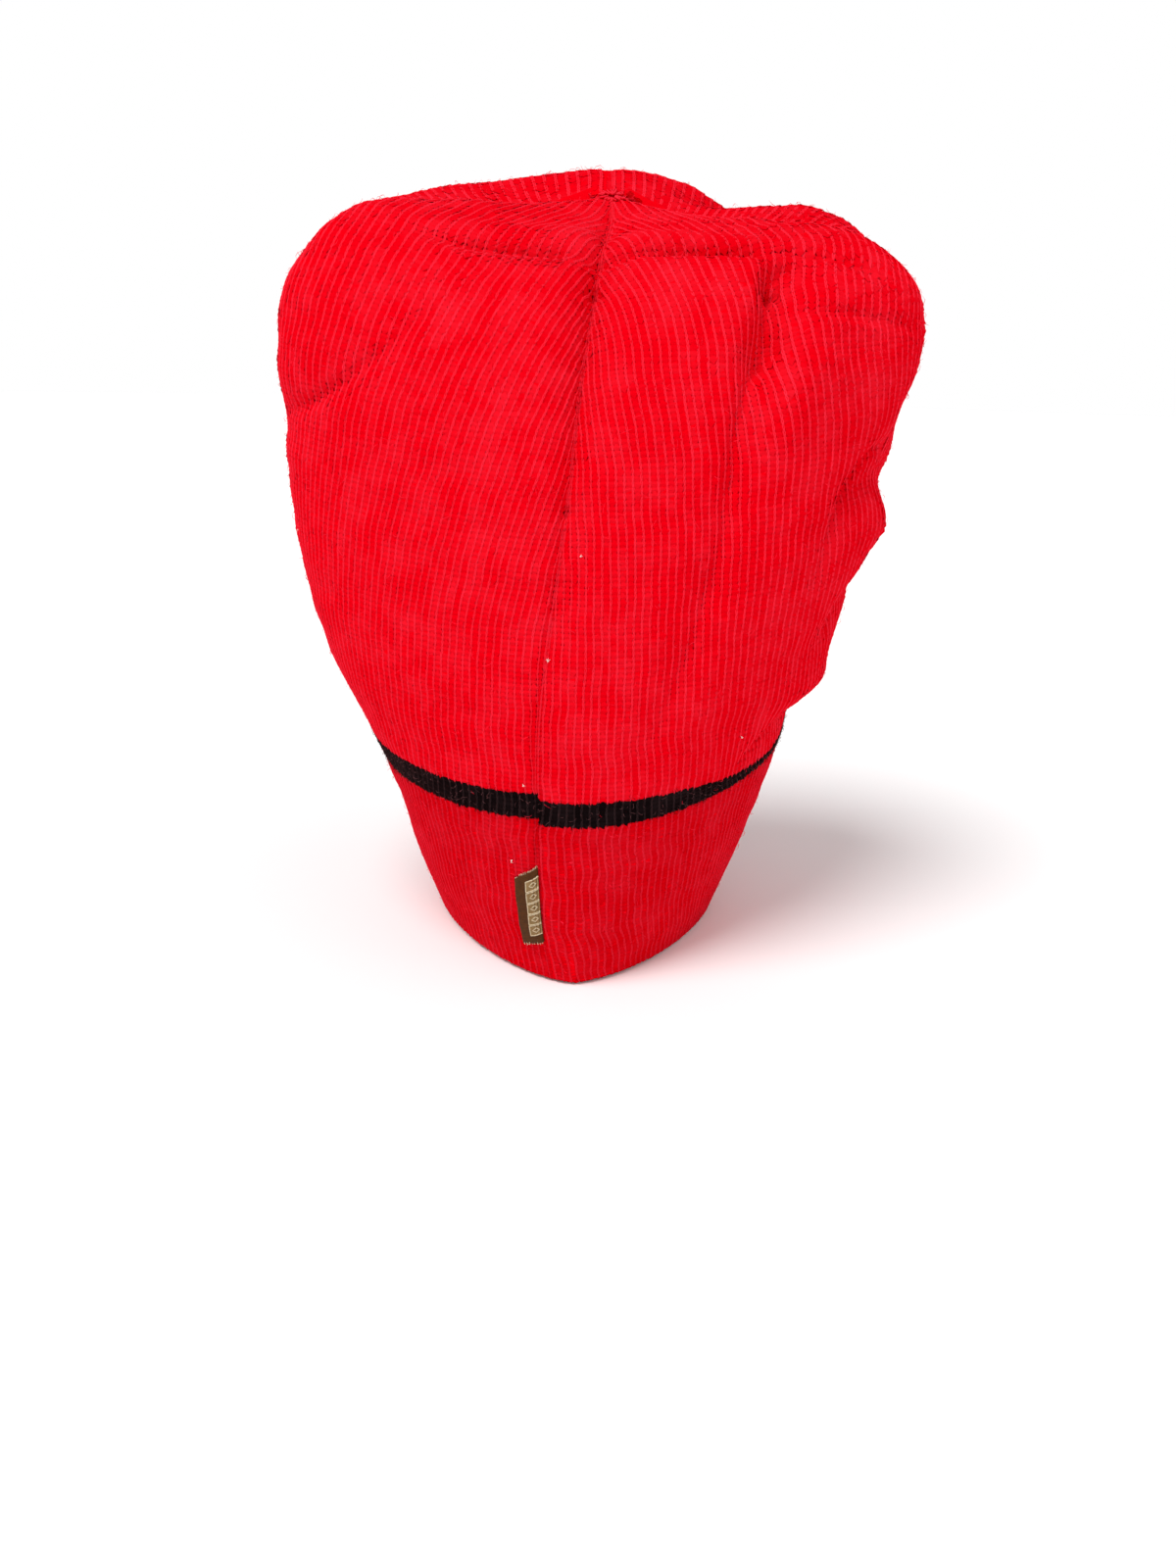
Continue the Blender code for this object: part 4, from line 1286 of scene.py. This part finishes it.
def strip_line(points, lift, wide, high):
    """Threads head to tail along a line of shares and rises."""
    runs = []
    for (share_a, rise_a), (share_b, rise_b) in zip(points, points[1:]):
        length = math.hypot((share_b - share_a) * TAB_WIDTH, (rise_b - rise_a) * TAB_LENGTH)
        count = max(1, round(length / EDGE_STEP))
        for step in range(count):
            t = [(step - 0.15) / count, (step + 1.15) / count]
            share = np.interp(t, [-1, 2], [2 * share_a - share_b, 2 * share_b - share_a])
            rise = np.interp(t, [-1, 2], [2 * rise_a - rise_b, 2 * rise_b - rise_a])
            runs.append(Run(share[0], rise[0], share[1], rise[1], lift, wide, high))
    return runs


def strip_blocks():
    """Tan ground threads, and a cream edge with a lozenge in it, for each block of the strip."""
    ground, edge = [], []
    pitch = (STRIP_TOP - STRIP_LOW) / BLOCKS
    middle, half = (STRIP_LEFT + STRIP_RIGHT) / 2, (STRIP_LEFT - STRIP_RIGHT) / 2
    for block in range(BLOCKS):
        low = STRIP_LOW + block * pitch + BLOCK_GAP / 2
        top = low + pitch - BLOCK_GAP
        for number in range(GROUND_THREADS):
            rise = low + (number + 0.5) / GROUND_THREADS * (top - low)
            across = [(STRIP_RIGHT, rise), (STRIP_LEFT, rise)]
            ground += strip_line(across, GROUND_LIFT, GROUND_THREAD, GROUND_HIGH)
        corners = [(STRIP_RIGHT, low), (STRIP_LEFT, low), (STRIP_LEFT, top), (STRIP_RIGHT, top)]
        edge += strip_line(corners, EDGE_LIFT, EDGE_THREAD, EDGE_HIGH)
        centre, tall, wide = (low + top) / 2, (top - low) * LOZENGE_TALL, half * LOZENGE_WIDE
        lozenge = [(middle, centre - tall), (middle + wide, centre)]
        lozenge += [(middle, centre + tall), (middle - wide, centre), lozenge[0]]
        edge += strip_line(lozenge, EDGE_LIFT, LOZENGE_THREAD, EDGE_HIGH)
    return ground, edge


def frayed_ends(seed):
    """Warp threads that stick out of the ribbon's cut ends."""
    draw = np.random.default_rng(seed)
    runs = []
    for rise, way in ((0.0, -1), (1.0, 1)):
        for share in np.linspace(0.05, 0.97, FRAYED_THREADS):
            down = -draw.uniform(0, TAB_TOP - TAB_UNDER)
            tip = rise + way * draw.uniform(0.012, 0.040)
            strayed = share + draw.normal(0, 0.02)
            root = rise - way * 0.02
            runs.append(Run(share, root, strayed, tip, down, FRAYED_THREAD, FRAYED_HIGH))
    return runs


def lay_threads(name, runs, dye, seed, turn_scatter, size_scatter):
    places = thread_places(runs, seed)
    show(lay(name, places, THREAD, dye, seed, turn_scatter, size_scatter), "ribbon")


GROUND, EDGE = strip_blocks()
lay_threads("tab_ground_threads", GROUND, TAN_THREAD, 41, 0.0, 0.05)
lay_threads("tab_edge_threads", EDGE, CREAM_THREAD, 42, 0.0, 0.08)
lay_threads("tab_frayed_ends", frayed_ends(43), CREAM_THREAD, 43, math.radians(8), 0.2)

# %% [markdown]
# ### The gather at the crown
#
# Where the four darts meet, the last stitches are drawn together on a thread. It makes a small
# knot of short, bright loops. It could be one modelled lump, but short threads laid in a ring,
# with some scatter, show how it is made.

# %% Gathered loops
GATHER_LOOPS = 30
GATHER_START = 0.998
GATHER_REACH = 0.991
GATHER_FACING = 0.985
LOOP_WIDTH = 1.3 * MM


def gather_places(seed):
    draw = np.random.default_rng(seed)
    drift = draw.uniform(-0.3, 0.3, GATHER_LOOPS)
    bearing = 2 * math.pi * (np.arange(GATHER_LOOPS) + drift) / GATHER_LOOPS
    inner = read_grid(OUTER, bearing, np.full(GATHER_LOOPS, GATHER_START))
    outer = read_grid(OUTER, bearing, np.full(GATHER_LOOPS, GATHER_REACH))
    outward = read_grid(OUTWARD, bearing, np.full(GATHER_LOOPS, GATHER_FACING))
    length = np.linalg.norm(outer - inner, axis=-1)
    spread = (LOOP_WIDTH, length, draw.uniform(0.5, 1.0, GATHER_LOOPS) * MM)
    tint = draw.normal(0, 1, GATHER_LOOPS)
    return as_places((inner + outer) / 2, outward, outer - inner, spread, tint)


# The loops take the red yarn's painted highlight on their crests.
show(lay("crown_gather", gather_places(51), THREAD, RED_WOOL, 51, math.radians(6), 0.1), "red_knit")

# %% [markdown]
# ### Lint and pulled loops
#
# A worn knit picks up white specks of lint, and here and there a loop of its own yarn is pulled
# out. Both could be painted on as spots, but a spot has no height and no shadow. A few small
# fibres at each chosen place are as quick to lay, because the shape and the nodes are there.

# %% Lint
# Each spot is a bearing and a level. The second list is of pulled loops of the hat's own yarn.
LINT_SPOTS = [(268.5, 0.50), (262.9, 0.40), (256.6, 0.27), (249.0, 0.17)]
LINT_SPOTS += [(312.0, 0.29), (48.0, 0.55), (131.0, 0.33), (196.0, 0.47)]
CURL_SPOTS = [(268.5, 0.18), (264.5, 0.098), (33.0, 0.31)]
FLUFF_FIBRES = 4
FLUFF_THICKNESS, FLUFF_LENGTH, FLUFF_STAND = 0.09 * MM, 1.3 * MM, 0.4 * MM
FLUFF_DRIFT = 0.15 * MM


def fluff_places(spots, seed):
    """A few fibres curled together at each spot."""
    draw = np.random.default_rng(seed)
    bearing, level = np.array(spots).repeat(FLUFF_FIBRES, axis=0).T
    bearing = np.radians(bearing)
    outward = read_grid(OUTWARD, bearing, level)
    heading = np.cross(outward, draw.normal(0, 1, outward.shape))
    count = len(bearing)
    size = draw.uniform(0.5, 1.1, count)
    shift = draw.normal(0, FLUFF_DRIFT, (count, 3))
    place = read_grid(OUTER, bearing, level) + outward * YARN_RELIEF + shift
    spread = (FLUFF_THICKNESS, size * FLUFF_LENGTH, size * FLUFF_STAND)
    return as_places(place, outward, heading, spread, draw.normal(0, 1, count))


show(lay("lint", fluff_places(LINT_SPOTS, 61), ARCH, LINT, 61, 0.3, 0.2), "red_knit")
show(lay("pulled_loops", fluff_places(CURL_SPOTS, 62), ARCH, RED_FIBRE, 62, 0.3, 0.2), "red_knit")

# %% [markdown]
# ### The studio
#
# The hat stands on a pale floor in soft light, so that its own colour and folds are what shows.
# The floor is a wide disc, and the sky is white near the horizon, so no edge shows between them.
# Light from the sky alone would leave the folds flat. A broad key lamp from the front left draws
# them, and a weak fill lamp from the right keeps that side from going dark.

# %% Floor
FLOOR_RADIUS = 6.0
FLOOR_SIDES = 96


def studio_floor():
    """A wide disc of pale matt paint, which throws light back up into the shadow."""
    corners = [2 * math.pi * side / FLOOR_SIDES for side in range(FLOOR_SIDES)]
    rim = [(FLOOR_RADIUS * math.cos(a), FLOOR_RADIUS * math.sin(a), 0.0) for a in corners]
    mesh = bpy.data.meshes.new("studio_floor")
    mesh.from_pydata(rim, [], [tuple(range(FLOOR_SIDES))])
    white = linear("FAFAFA")
    paint = {"Base Color": white, "Roughness": 0.95, "Specular IOR Level": 0.1}
    mesh.materials.append(blank_material("painted studio floor", white, paint)[0])
    floor = bpy.data.objects.new("studio_floor", mesh)
    SCENE.collection.objects.link(floor)


studio_floor()
print("floor radius, m:", FLOOR_RADIUS)

# %% Light
SKY_WHITE_TO = 0.30
SKY_DIM_FROM = 0.75
SKY_STRENGTH = 1.0


def studio_sky():
    """Even light from all round, white to just above the horizon and dimmer overhead."""
    world = bpy.data.worlds.new("studio")
    world.use_nodes = True
    tree = world.node_tree
    direction = add_node(tree, "ShaderNodeTexCoord").outputs["Generated"]
    height = add_node(tree, "ShaderNodeSeparateXYZ", {0: direction}).outputs["Z"]
    ramp = add_node(tree, "ShaderNodeValToRGB", {0: height})
    ramp.color_ramp.elements[0].position = SKY_WHITE_TO
    ramp.color_ramp.elements[0].color = linear("FFFFFF")
    ramp.color_ramp.elements[1].position = SKY_DIM_FROM
    ramp.color_ramp.elements[1].color = linear("888888")
    background = tree.nodes["Background"]
    tree.links.new(ramp.outputs["Color"], background.inputs["Color"])
    background.inputs["Strength"].default_value = SKY_STRENGTH
    SCENE.world = world


def sun(name, place, power, spread):
    light = bpy.data.lights.new(name, "SUN")
    light.energy = power
    light.angle = spread
    lamp = bpy.data.objects.new(name, light)
    lamp.rotation_euler = (-Vector(place)).to_track_quat("-Z", "Y").to_euler()
    SCENE.collection.objects.link(lamp)


studio_sky()
sun("key light", (-0.75, -0.95, 2.35), 2.2, math.radians(28))
sun("fill light", (1.2, -1.0, 1.8), 0.35, math.radians(60))
SCENE.view_settings.view_transform = "Standard"
print("lamps:", len(bpy.data.lights))

# %% [markdown]
# ### The camera
#
# A view can be matched by eye, but a camera that was worked out from the photo keeps its
# proportions true. This one has the photo's focal length, its tilt down and its slight roll.

# %% Camera
FOCAL_PIXELS = 1250
PHOTO_HEIGHT = 1600
FILM_HEIGHT = 36
CAMERA_PLACE = (-0.00057, -0.48656, 0.23002)
CAMERA_DOWN = math.radians(19.417)
CAMERA_ROLL = math.radians(1.2548)


def photo_camera():
    data = bpy.data.cameras.new("camera")
    data.sensor_width = FILM_HEIGHT
    data.lens = FILM_HEIGHT * FOCAL_PIXELS / PHOTO_HEIGHT
    camera = bpy.data.objects.new("camera", data)
    tilt = Matrix.Rotation(math.pi / 2 - CAMERA_DOWN, 4, "X")
    camera.matrix_world = Matrix.Translation(CAMERA_PLACE) @ tilt @ Matrix.Rotation(CAMERA_ROLL, 4, "Z")
    SCENE.collection.objects.link(camera)
    SCENE.camera = camera


photo_camera()
print("camera at", CAMERA_PLACE)

# %% [markdown]
# ### Plain numbers
#
# A small helper turns the corners of a box into plain lists of numbers.

# %% Plain numbers
def plain(box):
    return [[float(value) for value in corner] for corner in box]
